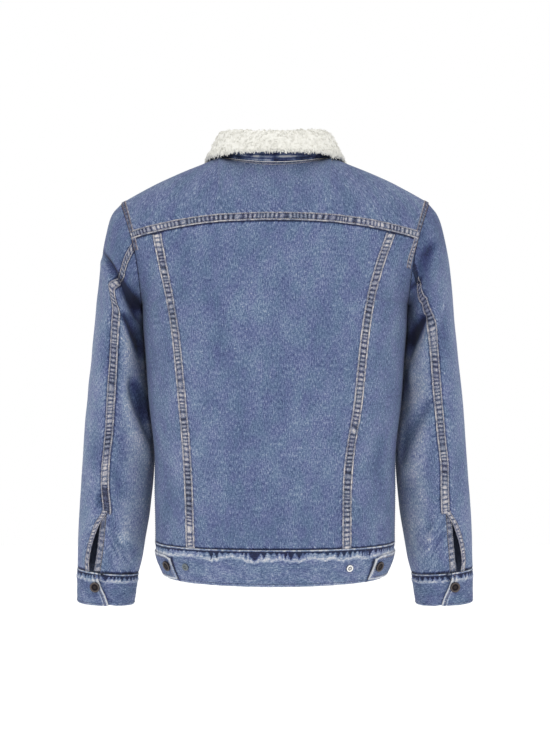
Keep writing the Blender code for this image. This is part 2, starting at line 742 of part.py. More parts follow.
def collar_profile(turn):
    """Points of the collar's section: up the stand, over the fold, down the fall."""
    key = abs(degrees(turn))
    stand, lean, fold, fall_out, fall_up, skew = (
        COLLAR.at(key, name) for name in COLLAR.names[1:])
    return (
        (0, COLLAR_GAP, 0),
        (lean * STAND_BULGE, stand / 2, 0),
        (lean, stand - fold, 0),
        (lean + fold, stand, 0),
        (lean + 2 * fold, stand - fold, 0),
        ((lean + 2 * fold + fall_out) / 2, (stand - fold + fall_up) / 2, skew / 2),
        (fall_out, fall_up, skew),
    )


def collar_point(turn, along):
    """Point of the collar: along runs from 0 at the neck seam to 6 at the fall's edge."""
    base = neck_point(turn)
    ahead = neck_point(turn + SMALL_TURN) - neck_point(turn - SMALL_TURN)
    ahead.z = 0
    ahead.normalize()
    out = Vector((0, 0, 1)).cross(ahead)
    towards_back = ahead * (-1 if turn > 0 else 1)
    section = Table("place out up skew", *((i, *p) for i, p in enumerate(collar_profile(turn))))
    return (base + out * section.at(along, "out") + Vector((0, 0, section.at(along, "up")))
            + towards_back * section.at(along, "skew"))


def make_collar():
    """Under collar of denim, and upper collar of sherpa lying on it."""
    round_neck = [QUARTER * i / NECK_COLUMNS for i in range(2 * NECK_COLUMNS - 1)]
    for x in (PLACKET_HALF_WIDTH + UNDERLAP_RAMP, PLACKET_HALF_WIDTH):
        round_neck.append(pi - asin(x / NECK_HALF_WIDTH))
    round_neck.append(radians(COLLAR_END))
    turns = [-turn for turn in round_neck[:0:-1]] + round_neck
    under = [[collar_point(turn, place) for turn in turns] for place in COLLAR_PLACES]
    cloth("collar_under", under, DENIM, DENIM_DARK)
    cloth("collar_upper", under, SHERPA, CREAM, outwards=True, moved=LAYER_GAP)


def make_lining():
    """Sherpa lining of the body, just inside the denim."""
    moved = -DENIM - LINING_GAP
    levels = [LINING_BOTTOM] + [level for level in back_levels() if level > LINING_BOTTOM]
    levels += yoke_levels()[1:-1]
    rows = [[back_body(turn, level) for turn in back_turns(level)] for level in levels]
    margins = (0, LINING_TOP_MARGIN, LINING_MARGIN, LINING_MARGIN)
    cloth("lining_back", opened(rows, *margins), LINING, CREAM, moved=moved)
    levels = [LINING_BOTTOM] + [level for level in front_levels() if level > LINING_BOTTOM]
    for name, side in (("lining_front_left", 1), ("lining_front_right", -1)):
        rows = []
        for level in levels[:-1]:
            turns = front_turns(level, side)[:PANEL_COLUMNS + 1]
            row = [front_body(turn, level) for turn in turns]
            rows.append(row[::-side])
        cloth(name, opened(rows, *margins), LINING, CREAM, moved=moved)


def make_front_buttons():
    """Buttons down the band, and one on the waistband."""
    for i, level in enumerate(FRONT_BUTTON_LEVELS):
        normal = normal_at(front_body, 0, level)
        centre = front_body(0, level) + normal * (PLACKET_PROUD + BUTTON_GAP)
        turned(f"front_button_{i + 1}", BUTTON_PROFILE, BUTTON_STEPS, DARK_METAL,
               ANTIQUE_ROUGHNESS, 1, centre, normal)
    normal = normal_at(band_point, -pi, TAB_BUTTON_HEIGHT)
    centre = band_point(-pi, TAB_BUTTON_HEIGHT) + normal * BUTTON_GAP
    turned("waistband_button", BUTTON_PROFILE, BUTTON_STEPS, DARK_METAL,
           ANTIQUE_ROUGHNESS, 1, centre, normal)


def main():
    for piece in list(bpy.data.objects):
        bpy.data.objects.remove(piece)
    bpy.context.scene.collection.children.link(COLLECTION)
    make_back()
    make_yoke()
    make_fronts()
    make_placket()
    make_waistband()
    make_tabs()
    make_sleeves()
    make_cuffs()
    make_collar()
    make_lining()
    make_front_buttons()


main()
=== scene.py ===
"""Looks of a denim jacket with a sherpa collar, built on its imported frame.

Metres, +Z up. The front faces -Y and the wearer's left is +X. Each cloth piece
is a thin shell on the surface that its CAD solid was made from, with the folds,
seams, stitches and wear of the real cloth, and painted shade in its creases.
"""

import bpy
import numpy as np
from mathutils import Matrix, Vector


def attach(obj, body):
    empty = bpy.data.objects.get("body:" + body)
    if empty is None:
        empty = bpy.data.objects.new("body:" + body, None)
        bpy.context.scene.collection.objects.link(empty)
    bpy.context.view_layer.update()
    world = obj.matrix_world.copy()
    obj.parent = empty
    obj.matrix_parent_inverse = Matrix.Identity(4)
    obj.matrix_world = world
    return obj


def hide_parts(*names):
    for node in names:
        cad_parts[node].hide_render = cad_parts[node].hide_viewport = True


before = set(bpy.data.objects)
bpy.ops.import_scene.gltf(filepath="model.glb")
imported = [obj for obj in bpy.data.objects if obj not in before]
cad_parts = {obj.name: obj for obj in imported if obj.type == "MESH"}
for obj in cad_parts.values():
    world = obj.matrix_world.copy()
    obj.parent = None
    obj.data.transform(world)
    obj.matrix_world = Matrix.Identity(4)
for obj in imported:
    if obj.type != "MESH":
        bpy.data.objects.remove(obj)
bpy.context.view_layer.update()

PI = np.pi
QUARTER = PI / 2

# ---------------------------------------------------------------- sizes

DENIM = 0.0014
BAND_CLOTH = 0.0030
PLACKET_CLOTH = 0.0020
TAB_CLOTH = 0.0024
FACING_CLOTH = 0.0012
SHERPA = 0.0060
LINING = 0.0040
LAYER_GAP = 0.0005

SHOULDER_TIP_HEIGHT = -0.053
UNDERARM_HEIGHT = -0.212
YOKE_SEAM_HEIGHT = -0.116
CHEST_HEIGHT = -0.140
WAISTBAND_TOP = -0.575
HEM_HEIGHT = -0.6303

NECK_HALF_WIDTH = 0.0865
NECK_BACK = 0.073
NECK_FRONT = -0.086
NECK_SIDE_Y = -0.002
NECK_SIDE_RISE = 0.014
NECK_FRONT_DROP = 0.070
NECK_FALL_POWER = 1.6
SHOULDER_BOW = 0.0020

PLACKET_HALF_WIDTH = 0.020
UNDERLAP_EDGE = 0.017
UNDERLAP_RAMP = 0.014
UNDERLAP_DEPTH = 0.0019
PLACKET_PROUD = 0.0006
TAB_GAP = 0.0008
TAB_START = 112
TAB_ENDS = {"left": 59, "right": 55}
TAB_BOTTOM = -0.626
TAB_TOP = -0.589
TAB_STITCH_IN = 0.004
TAB_AROUND = 0.165
TAB_BUTTON_INSET = 4
TAB_BUTTON_HEIGHT = -0.605
STUD_TURNS = {"left": 48, "right": 38}
FACING_WIDTH = 0.010
CUFF_EDGE_TOP = 76
CUFF_EDGE_BOTTOM = 100
CUFF_HIDDEN_END = 48
CUFF_BUTTON_TURN = 73
CUFF_BUTTON_RING = 0.85
COLLAR_END = 171
COLLAR_GAP = 0.0018
LINING_INSET = 0.0026
FRONT_BUTTON_LEVELS = (-0.160, -0.245, -0.330, -0.415, -0.500)
BUTTON_GAP = 0.0003

ARMHOLE_MIDDLE = (SHOULDER_TIP_HEIGHT + UNDERARM_HEIGHT) / 2
ARMHOLE_HALF_HEIGHT = (SHOULDER_TIP_HEIGHT - UNDERARM_HEIGHT) / 2
BODY_ROUNDNESS = 2.35

# Mesh spacing
CLOTH_STEP = 0.0034
BAND_STEP = 0.0016
STRIP_STEP = 0.0013
LINING_STEP = 0.0070
PILE_STEP = 0.0018
STITCH_PITCH = 0.0034

# About how long the cloth is for each 1 that v rises
BACK_LENGTH = 0.46
YOKE_LENGTH = 0.155
FRONT_LENGTH = 0.37
LINING_LENGTH = 0.36


def ease(share):
    """Smooth step of a share from 0 to 1."""
    return share * share * (3 - 2 * share)


class Table:
    """Rows of named columns, read along a smooth curve through the rows."""

    def __init__(self, names, *rows):
        self.names = names.split()
        data = np.array(sorted(rows), float)
        self.keys = data[:, 0]
        self.values = dict(zip(self.names, data.T))
        last = len(data) - 1
        after = np.minimum(np.arange(last + 1) + 1, last)
        before = np.maximum(np.arange(last + 1) - 1, 0)
        spans = self.keys[after] - self.keys[before]
        self.slopes = {name: (column[after] - column[before]) / spans
                       for name, column in self.values.items()}

    def at(self, key, name):
        keys, values, slopes = self.keys, self.values[name], self.slopes[name]
        key = np.clip(key, keys[0], keys[-1])
        low = np.clip(np.searchsorted(keys, key, side="right") - 1, 0, len(keys) - 2)
        span = keys[low + 1] - keys[low]
        u = (key - keys[low]) / span
        pull = u * (1 - u) ** 2 * slopes[low] + u * u * (u - 1) * slopes[low + 1]
        return values[low] * (1 - ease(u)) + values[low + 1] * ease(u) + pull * span


BODY = Table(
    "height half_width back_depth back_rise front_depth",
    (-0.575, 0.1850, 0.1210, 0.000, 0.1160),
    (-0.500, 0.1860, 0.1260, 0.000, 0.1210),
    (-0.436, 0.1865, 0.1310, 0.000, 0.1250),
    (-0.360, 0.1950, 0.1370, 0.000, 0.1300),
    (-0.285, 0.2002, 0.1410, 0.002, 0.1340),
    (-0.245, 0.2036, 0.1418, 0.005, 0.1348),
    (-0.212, 0.2050, 0.1420, 0.008, 0.1350),
    (-0.165, 0.2100, 0.1390, 0.015, 0.1320),
    (-0.116, 0.2100, 0.1300, 0.022, 0.1250),
)

WAISTBAND = Table(
    "height half_width back_depth front_depth roundness",
    (-0.6303, 0.1690, 0.1205, 0.1160, 2.05),
    (-0.602, 0.1805, 0.1222, 0.1175, 2.20),
    (-0.575, 0.1862, 0.1222, 0.1172, 2.35),
)

BACK_SEAMS = Table(
    "height left_x right_x",
    (-0.575, 0.1255, -0.1060),
    (-0.456, 0.1290, -0.1080),
    (-0.360, 0.1365, -0.1220),
    (-0.266, 0.1460, -0.1317),
    (-0.208, 0.1560, -0.1416),
    (-0.161, 0.1660, -0.1550),
    (-0.116, 0.1755, -0.1720),
)

SLEEVE = Table(
    "ring outer_x outer_z inner_x inner_z middle_y half_depth bow front_seam",
    (0, 0.2370, -0.0530, 0.2050, -0.2120, 0.000, 0.0720, -0.0105, -115),
    (1, 0.2520, -0.0720, 0.2074, -0.2150, -0.002, 0.0740, -0.0050, -115),
    (2, 0.2610, -0.1010, 0.2071, -0.2195, -0.005, 0.0765, 0.0000, -115),
    (3, 0.2690, -0.1380, 0.2066, -0.2260, -0.010, 0.0780, 0.0000, -115),
    (4, 0.2750, -0.1800, 0.2056, -0.2360, -0.016, 0.0780, 0.0000, -115),
    (5, 0.2795, -0.2250, 0.2044, -0.2540, -0.021, 0.0765, 0.0000, -114),
    (6, 0.2860, -0.2850, 0.2016, -0.2950, -0.025, 0.0740, 0.0000, -112),
    (7, 0.2945, -0.3600, 0.1970, -0.3630, -0.028, 0.0680, 0.0000, -110),
    (8, 0.3010, -0.4360, 0.1895, -0.4390, -0.030, 0.0610, 0.0000, -108),
    (9, 0.3065, -0.5140, 0.1950, -0.5180, -0.032, 0.0540, 0.0000, -106),
    (10, 0.3100, -0.5870, 0.2075, -0.5940, -0.034, 0.0470, 0.0000, -105),
    (11, 0.3112, -0.6220, 0.2155, -0.6310, -0.036, 0.0415, 0.0000, -105),
)

# Where the sleeves' back seams run, in degrees round from the outermost line
SLEEVE_SEAMS = Table(
    "ring left right",
    (0, 84, 104),
    (1.0, 92, 119),
    (2.1, 98, 124),
    (2.9, 89, 120),
    (3.4, 79.5, 114),
    (3.9, 84, 111),
    (4.4, 91, 105),
    (5.1, 89.5, 96),
    (5.9, 87.5, 92),
    (6.8, 85, 87.5),
    (7.5, 81, 81.5),
    (8.2, 75.5, 76),
    (8.7, 77, 77.5),
    (9.2, 83, 79),
    (11.0, 81, 81),
)

CUFF = Table(
    "ring outer_x outer_z inner_x inner_z middle_y half_depth bow",
    (0, 0.3120, -0.6224, 0.2148, -0.6314, -0.036, 0.0424, 0.0),
    (1, 0.3122, -0.6500, 0.2185, -0.6560, -0.037, 0.0400, 0.0),
    (2, 0.3124, -0.6765, 0.2222, -0.6805, -0.038, 0.0375, 0.0),
)

VENT = Table(
    "ring opening",
    (9.20, 0.0),
    (9.45, 0.011),
    (9.90, 0.019),
    (10.5, 0.020),
    (11.0, 0.0165),
)

COLLAR = Table(
    "turn stand lean fold fall_out fall_up skew",
    (0, 0.0430, -0.0040, 0.0038, 0.0150, 0.0135, 0.000),
    (50, 0.0395, -0.0055, 0.0038, 0.0140, 0.0080, 0.000),
    (90, 0.0325, -0.0075, 0.0038, 0.0125, 0.0045, 0.000),
    (125, 0.0250, -0.0020, 0.0038, 0.0360, -0.0075, 0.002),
    (150, 0.0190, 0.0020, 0.0038, 0.0460, -0.0290, 0.012),
    (170, 0.0140, 0.0040, 0.0038, 0.0480, -0.0430, 0.030),
)

# Folds as soft curves in the plane of X and Z, seen from the back or the front.
# Each runs from its first point past the middle one to the last. A negative
# depth is a trough, lean is the side and height of the ridge beside it, and
# held is 1 where the fold doesn't fade out at its last point.
FOLD_COLUMNS = "x0 z0 x1 z1 x2 z2 width depth lean held"
SLEEVE_FOLDS = {
    ("left", "back"): (
        (0.2700, -0.1250, 0.2400, -0.1720, 0.2060, -0.2260, 0.0072, -0.0095, 0.3, 1),
        (0.2380, -0.2240, 0.2130, -0.2560, 0.1960, -0.3480, 0.0100, -0.0070, 0.5, 0),
        (0.2180, -0.3150, 0.2110, -0.3620, 0.1760, -0.4300, 0.0095, -0.0080, 0.5, 1),
        (0.2620, -0.2300, 0.2560, -0.2760, 0.2660, -0.3300, 0.0140, -0.0022, 0.3, 0),
        (0.2880, -0.3900, 0.2790, -0.4250, 0.2860, -0.4700, 0.0160, -0.0022, -0.3, 0),
        (0.2480, -0.4500, 0.2380, -0.4850, 0.2120, -0.5200, 0.0140, -0.0030, 0.4, 0),
        (0.2560, -0.5250, 0.2480, -0.5600, 0.2280, -0.6150, 0.0080, -0.0016, 0.5, 0),
        (0.2440, -0.5350, 0.2400, -0.5700, 0.2200, -0.6050, 0.0070, -0.0014, -0.5, 0),
    ),
    ("right", "back"): (
        (0.2460, -0.1180, 0.2260, -0.1420, 0.2080, -0.1800, 0.0130, -0.0050, 0.4, 0),
        (0.2230, -0.1760, 0.2130, -0.1830, 0.2020, -0.1880, 0.0060, -0.0040, -0.6, 1),
        (0.2260, -0.2240, 0.2180, -0.2460, 0.1960, -0.2900, 0.0110, -0.0085, 0.5, 1),
        (0.2080, -0.3000, 0.1980, -0.3240, 0.1900, -0.3700, 0.0090, -0.0060, 0.3, 1),
        (0.2400, -0.3520, 0.2190, -0.3840, 0.1880, -0.4440, 0.0120, -0.0055, 0.5, 1),
        (0.2640, -0.2160, 0.2560, -0.2600, 0.2620, -0.3050, 0.0150, -0.0022, -0.4, 0),
        (0.2900, -0.4400, 0.2830, -0.4720, 0.2880, -0.5150, 0.0150, -0.0020, 0.3, 0),
        (0.2420, -0.5250, 0.2350, -0.5600, 0.2250, -0.6000, 0.0080, -0.0016, 0.5, 0),
        (0.2560, -0.5400, 0.2500, -0.5750, 0.2330, -0.6150, 0.0070, -0.0016, -0.5, 0),
    ),
    ("left", "front"): (
        (0.2560, -0.1250, 0.2380, -0.1600, 0.2060, -0.2150, 0.0110, -0.0070, 0.5, 1),
        (0.2420, -0.2350, 0.2240, -0.2700, 0.1960, -0.3200, 0.0110, -0.0070, -0.5, 1),
        (0.2600, -0.3350, 0.2360, -0.3600, 0.1940, -0.3950, 0.0130, -0.0060, 0.5, 1),
        (0.2720, -0.4000, 0.2420, -0.4250, 0.2000, -0.4450, 0.0120, -0.0040, 0.4, 0),
        (0.2840, -0.5100, 0.2600, -0.5400, 0.2240, -0.5700, 0.0130, -0.0026, 0.5, 0),
    ),
    ("right", "front"): (
        (0.2580, -0.1320, 0.2360, -0.1640, 0.2060, -0.2100, 0.0120, -0.0070, -0.5, 1),
        (0.2480, -0.2480, 0.2260, -0.2760, 0.1960, -0.3280, 0.0100, -0.0075, 0.5, 1),
        (0.2560, -0.3500, 0.2300, -0.3720, 0.1940, -0.4100, 0.0140, -0.0060, 0.5, 1),
        (0.2780, -0.4260, 0.2480, -0.4460, 0.2060, -0.4600, 0.0110, -0.0036, -0.4, 0),
        (0.2800, -0.5000, 0.2560, -0.5300, 0.2260, -0.5640, 0.0130, -0.0026, 0.5, 0),
    ),
}
BODY_FOLDS = {
    "back": (
        (0.2040, -0.2200, 0.1960, -0.2700, 0.1800, -0.3250, 0.0100, -0.0022, 0.3, 0),
        (-0.2040, -0.2140, -0.1960, -0.2500, -0.1820, -0.3050, 0.0110, -0.0024, 0.3, 0),
        (0.1950, -0.1240, 0.1880, -0.1640, 0.1920, -0.1980, 0.0080, -0.0014, -0.4, 0),
        (-0.1960, -0.1300, -0.1900, -0.1620, -0.1930, -0.1960, 0.0080, -0.0014, 0.4, 0),
        (0.1700, -0.4300, 0.1640, -0.4900, 0.1620, -0.5500, 0.0140, -0.0014, 0.3, 0),
        (-0.1600, -0.3900, -0.1540, -0.4600, -0.1560, -0.5300, 0.0150, -0.0014, 0.3, 0),
        (0.0900, -0.1500, 0.0860, -0.2400, 0.0820, -0.3400, 0.0260, -0.0012, 0.3, 0),
        (-0.0760, -0.1600, -0.0700, -0.2600, -0.0740, -0.3600, 0.0280, -0.0012, -0.3, 0),
        (0.0500, -0.5000, 0.0300, -0.5350, 0.0240, -0.5700, 0.0160, -0.0010, 0.3, 0),
        (-0.0460, -0.4900, -0.0400, -0.5300, -0.0420, -0.5700, 0.0160, -0.0010, 0.3, 0),
    ),
    "front": (
        (0.1980, -0.2100, 0.1500, -0.2300, 0.1000, -0.2900, 0.0200, -0.0030, 0.4, 0),
        (-0.1980, -0.2050, -0.1520, -0.2300, -0.0980, -0.2800, 0.0200, -0.0030, -0.4, 0),
        (0.1900, -0.2500, 0.1600, -0.3000, 0.1500, -0.3700, 0.0180, -0.0030, 0.4, 0),
        (-0.1900, -0.2500, -0.1560, -0.3100, -0.1480, -0.3800, 0.0180, -0.0030, -0.4, 0),
        (0.1100, -0.4500, 0.0980, -0.5000, 0.1020, -0.5650, 0.0160, -0.0022, 0.3, 0),
        (-0.1180, -0.4400, -0.1040, -0.5000, -0.1000, -0.5650, 0.0170, -0.0022, 0.3, 0),
        (0.0600, -0.3500, 0.0560, -0.4200, 0.0620, -0.5000, 0.0200, -0.0016, 0.3, 0),
        (-0.0640, -0.3300, -0.0600, -0.4000, -0.0560, -0.4700, 0.0200, -0.0016, -0.3, 0),
    ),
}


# ------------------------------------------------------------- surfaces

def stack(*parts):
    """Points from their X, Y and Z."""
    return np.stack(np.broadcast_arrays(*parts), axis=-1).astype(float)


def unit(vectors):
    return vectors / np.maximum(np.linalg.norm(vectors, axis=-1, keepdims=True), 1e-12)


def smooth(low, high, value):
    """Smooth step from 0 at low to 1 at high."""
    return ease(np.clip((value - low) / (high - low), 0, 1))


def hill(value, middle, width):
    """Bell curve with its top of 1 at the middle."""
    return np.exp(-((value - middle) / width) ** 2)


def floats(*values):
    """Values as arrays of floats with one shape."""
    return np.broadcast_arrays(*(np.asarray(value, float) for value in values))


def lengths(points, axis=0):
    """Distances along lines of points, from 0 at their start."""
    steps = np.linalg.norm(np.diff(points, axis=axis), axis=-1)
    return np.insert(np.cumsum(steps, axis=axis), 0, 0, axis=axis)


def tube(table, ring, turn):
    """Left sleeve or cuff: a turn of 0 is outermost, QUARTER the back."""
    outer_x, outer_z = table.at(ring, "outer_x"), table.at(ring, "outer_z")
    inner_x, inner_z = table.at(ring, "inner_x"), table.at(ring, "inner_z")
    x = (outer_x + inner_x) / 2 + (outer_x - inner_x) / 2 * np.cos(turn)
    z = (outer_z + inner_z) / 2 + (outer_z - inner_z) / 2 * np.cos(turn)
    y = table.at(ring, "middle_y") + table.at(ring, "half_depth") * np.sin(turn)
    return stack(x + table.at(ring, "bow") * np.sin(turn) ** 2, y, z)


SHOULDER_TIP = tube(SLEEVE, 0, 0)


def armhole_turn(level):
    share = (level - ARMHOLE_MIDDLE) / ARMHOLE_HALF_HEIGHT
    return np.arccos(np.clip(share, -1, 1))


def edge(level, back):
    """Side seam of the left half, and the armhole above the underarm."""
    turn = armhole_turn(level)
    armhole = tube(SLEEVE, 0, turn if back else -turn)
    side = stack(BODY.at(level, "half_width"), 0, level)
    return np.where(np.asarray(level > UNDERARM_HEIGHT)[..., None], armhole, side)


def wrapped(half_width, depth, roundness, x):
    """Depth of a rounded section at x."""
    share = np.minimum(np.abs(x) / half_width, 1)
    return depth * (1 - share ** roundness) ** (1 / roundness)


def low_body(turn, level, back):
    """Body below the yoke or the chest: a turn of 0 is the centre line."""
    turn, level = np.broadcast_arrays(turn, level)
    limit = edge(level, back)
    depth = BODY.at(level, "back_depth" if back else "front_depth")
    reach = (np.abs(limit[..., 1]) / depth) ** BODY_ROUNDNESS
    half_width = limit[..., 0] / (1 - reach) ** (1 / BODY_ROUNDNESS)
    x = limit[..., 0] * np.sin(turn)
    y = wrapped(half_width, depth, BODY_ROUNDNESS, x)
    if back:
        return stack(-x, y, level + BODY.at(level, "back_rise") * np.cos(turn) ** 2)
    return stack(x, -y, level)


def neck(turn):
    """Neck seam: a turn of 0 is the back centre, PI the front centre."""
    sine, cosine = np.sin(turn), np.cos(turn)
    depth = np.where(cosine > 0, NECK_BACK - NECK_SIDE_Y, NECK_SIDE_Y - NECK_FRONT)
    fall = (NECK_SIDE_RISE + NECK_FRONT_DROP) * np.abs(cosine) ** NECK_FALL_POWER
    z = np.where(cosine > 0, NECK_SIDE_RISE * sine ** 2, NECK_SIDE_RISE - fall)
    return stack(NECK_HALF_WIDTH * sine, NECK_SIDE_Y + depth * cosine, z)


def top(turn, back):
    """Neck seam and shoulder seams as one line, from armhole to armhole."""
    reach = np.abs(np.sin(turn)) * SHOULDER_TIP[0]
    round_neck = np.arcsin(np.minimum(reach / NECK_HALF_WIDTH, 1))
    on_neck = neck(round_neck if back else PI - round_neck)
    share = np.clip((reach - NECK_HALF_WIDTH) / (SHOULDER_TIP[0] - NECK_HALF_WIDTH), 0, 1)
    corner = neck(QUARTER)
    shoulder = corner + (SHOULDER_TIP - corner) * share[..., None]
    shoulder[..., 2] += SHOULDER_BOW * np.sin(PI * share)
    point = np.where((reach <= NECK_HALF_WIDTH)[..., None], on_neck, shoulder)
    point[..., 0] *= np.where(turn > 0, 1, -1) * (-1 if back else 1)
    return point


# Start handle of a column as a share of its length, the step down that gives its direction,
# and its last handle at the neck and at the shoulder, for the back and the front
COLUMN_PULL = 0.38
STEP_DOWN = 0.01
ARRIVALS = {
    True: (np.array((0, 0.026, -0.032)), np.array((0, 0.046, 0.015))),
    False: (np.array((0, -0.018, -0.019)), np.array((0, -0.042, -0.019))),
}


def high_body(turn, t, back):
    """Columns of cloth from the yoke seam or the chest up to the top line."""
    level = YOKE_SEAM_HEIGHT if back else CHEST_HEIGHT
    start = low_body(turn, level, back)
    climb = unit(start - low_body(turn, level - STEP_DOWN, back))
    end = top(turn, back)
    pull = COLUMN_PULL * np.linalg.norm(end - start, axis=-1, keepdims=True)
    reach = np.minimum(np.abs(np.sin(turn)) * SHOULDER_TIP[0] / NECK_HALF_WIDTH, 1)
    at_neck, at_shoulder = ARRIVALS[back]
    arrival = at_neck + (at_shoulder - at_neck) * (reach ** 3)[..., None]
    t = np.asarray(t)[..., None]
    u = 1 - t
    return (start * u ** 3 + (start + climb * pull) * 3 * u * u * t
            + (end + arrival) * 3 * u * t * t + end * t ** 3)


def body_level(v, back):
    """Height of the low body at v, kept at its top above it."""
    top_level = YOKE_SEAM_HEIGHT if back else CHEST_HEIGHT
    return WAISTBAND_TOP + (top_level - WAISTBAND_TOP) * np.clip(v, 0, 1)


def front_v(level):
    """Value of v on the front at a height up to the chest."""
    return (level - WAISTBAND_TOP) / (CHEST_HEIGHT - WAISTBAND_TOP)


def body(turn, v, back):
    """Body surface: v is 0 at the waistband, 1 at the yoke seam or chest, 2 at the top."""
    turn, v = floats(turn, v)
    low = low_body(turn, body_level(v, back), back)
    t = np.clip(v - 1, 0, 1)
    turn_up = (1 - t) * armhole_turn(YOKE_SEAM_HEIGHT if back else CHEST_HEIGHT)
    armhole_level = ARMHOLE_MIDDLE + ARMHOLE_HALF_HEIGHT * np.cos(turn_up)
    armhole = edge(armhole_level, back)
    sign = np.where(turn >= 0, 1.0, -1.0)
    armhole[..., 0] *= sign * (-1 if back else 1)
    slip = armhole - high_body(sign * QUARTER, t, back)
    high = high_body(turn, t, back) + slip * (np.abs(np.sin(turn)) ** 6)[..., None]
    return np.where((v <= 1)[..., None], low, high)


def band(turn, level):
    """Waistband all round: a turn of 0 is the back centre, PI the front."""
    at_back = np.cos(turn) >= 0
    half_width, back_depth, front_depth, roundness = (
        WAISTBAND.at(level, name) for name in WAISTBAND.names[1:])
    x = half_width * np.sin(turn)
    y = wrapped(half_width, np.where(at_back, back_depth, front_depth), roundness, x)
    return stack(-x, np.where(at_back, y, -y), level)


def collar(turn, along):
    """Collar: along runs from 0 at the neck seam over the fold to 6 at the fall's edge."""
    turn, along = floats(turn, along)
    key = np.degrees(np.abs(turn))
    stand, lean, fold, out, up, skew = (COLLAR.at(key, name) for name in COLLAR.names[1:])
    zero = np.zeros_like(stand)
    section = np.stack([
        stack(zero, zero + COLLAR_GAP, zero),
        stack(lean * 0.6, stand / 2, zero),
        stack(lean, stand - fold, zero),
        stack(lean + fold, stand, zero),
        stack(lean + 2 * fold, stand - fold, zero),
        stack((lean + 2 * fold + out) / 2, (stand - fold + up) / 2, skew / 2),
        stack(out, up, skew),
    ])
    slopes = np.empty_like(section)
    slopes[1:-1] = (section[2:] - section[:-2]) / 2
    slopes[0] = section[1] - section[0]
    slopes[-1] = section[-1] - section[-2]
    low = np.clip(np.floor(along).astype(int), 0, 5)
    u = (along - low)[..., None]

    def pick(values, place):
        return np.take_along_axis(values, place[None, ..., None], axis=0)[0]

    point = (pick(section, low) * (1 - ease(u)) + pick(section, low + 1) * ease(u)
             + u * (1 - u) ** 2 * pick(slopes, low) + u * u * (u - 1) * pick(slopes, low + 1))
    ahead = neck(turn + 0.01) - neck(turn - 0.01)
    ahead[..., 2] = 0
    ahead = unit(ahead)
    outwards = np.cross((0, 0, 1), ahead)
    to_back = ahead * np.where(turn > 0, -1, 1)[..., None]
    return (neck(turn) + outwards * point[..., 0:1] + np.array((0, 0, 1)) * point[..., 1:2]
            + to_back * point[..., 2:3])


# ---------------------------------------------------------------- relief

def lattice(i, j, seed):
    value = np.sin(i * 127.1 + j * 311.7 + seed * 74.7) * 43758.5453
    return value - np.floor(value)


def noise(x, y=0.0, seed=0):
    """Smooth value noise from -1 to 1, with features one unit across."""
    x, y = floats(x, y)
    i, j = np.floor(x), np.floor(y)
    u, v = ease(x - i), ease(y - j)
    low = lattice(i, j, seed) * (1 - u) + lattice(i + 1, j, seed) * u
    high = lattice(i, j + 1, seed) * (1 - u) + lattice(i + 1, j + 1, seed) * u
    return 2 * (low * (1 - v) + high * v) - 1


FOLD_PARTS = 28


def folds(x, z, rows):
    """Height of the folds at points of the X and Z plane."""
    flat = np.stack([np.ravel(x), np.ravel(z)], axis=-1)
    total = np.zeros(len(flat))
    for row in rows:
        fold = dict(zip(FOLD_COLUMNS.split(), row))
        t = np.linspace(0, 1, FOLD_PARTS + 1)[:, None]
        first, middle, last = (np.array((fold[f"x{i}"], fold[f"z{i}"])) for i in range(3))
        bend = 2 * middle - (first + last) / 2
        curve = first * (1 - t) ** 2 + bend * 2 * t * (1 - t) + last * t * t
        reach = 4 * fold["width"]
        inside = np.all((flat > curve.min(0) - reach) & (flat < curve.max(0) + reach), axis=1)
        if not inside.any():
            continue
        points = flat[inside][:, None, :]
        start, span = curve[:-1], curve[1:] - curve[:-1]
        along = np.clip(((points - start) * span).sum(-1) / (span ** 2).sum(-1), 0, 1)
        away = points - start - span * along[..., None]
        distance = np.linalg.norm(away, axis=-1)
        nearest = distance.argmin(axis=1)
        picked = np.arange(len(nearest))
        gap = distance[picked, nearest]
        place = (nearest + along[picked, nearest]) / FOLD_PARTS
        step = span[nearest]
        offset = away[picked, nearest]
        side = np.sign(step[:, 0] * offset[:, 1] - step[:, 1] * offset[:, 0])
        fade = smooth(0, 0.3, place)
        if not fold["held"]:
            fade = fade * (1 - smooth(0.65, 1, place))
        width = fold["width"] * (0.5 + 0.8 * place)
        lean = fold["lean"]
        ridge = hill(gap * side * np.sign(lean), 1.7 * width, width)
        total[inside] += fold["depth"] * fade * (hill(gap, 0, width) - abs(lean) * ridge)
    return total.reshape(np.shape(x))


def body_relief(view, seed):
    """Folds and gathers of the body, seen from the back or the front."""
    def relief(turn, v, point):
        x, y, z = point[..., 0], point[..., 1], point[..., 2]
        round_body = np.arctan2(x, y) * 0.17
        height = folds(x, z, BODY_FOLDS[view])
        height += 0.0008 * noise(x / 0.06, z / 0.11, seed)
        height += 0.0004 * noise(x / 0.028, z / 0.045, seed + 1)
        above = np.maximum(z - WAISTBAND_TOP, 0)
        height += 0.0011 * noise(round_body / 0.010, z / 0.05, seed + 2) * np.exp(-above / 0.016)
        seam = np.abs(v - 1) * np.where(v > 1, 0.15, BACK_LENGTH)
        if view == "back":
            height += 0.0006 * noise(x / 0.0085, 0, seed + 3) * np.exp(-seam / 0.010)
        facing_sleeve = smooth(1.15, 0.95, v) * smooth(0.10, 0.22, v)
        return height * (1 - smooth(0.86, 0.97, np.abs(np.sin(turn))) * facing_sleeve)
    return relief


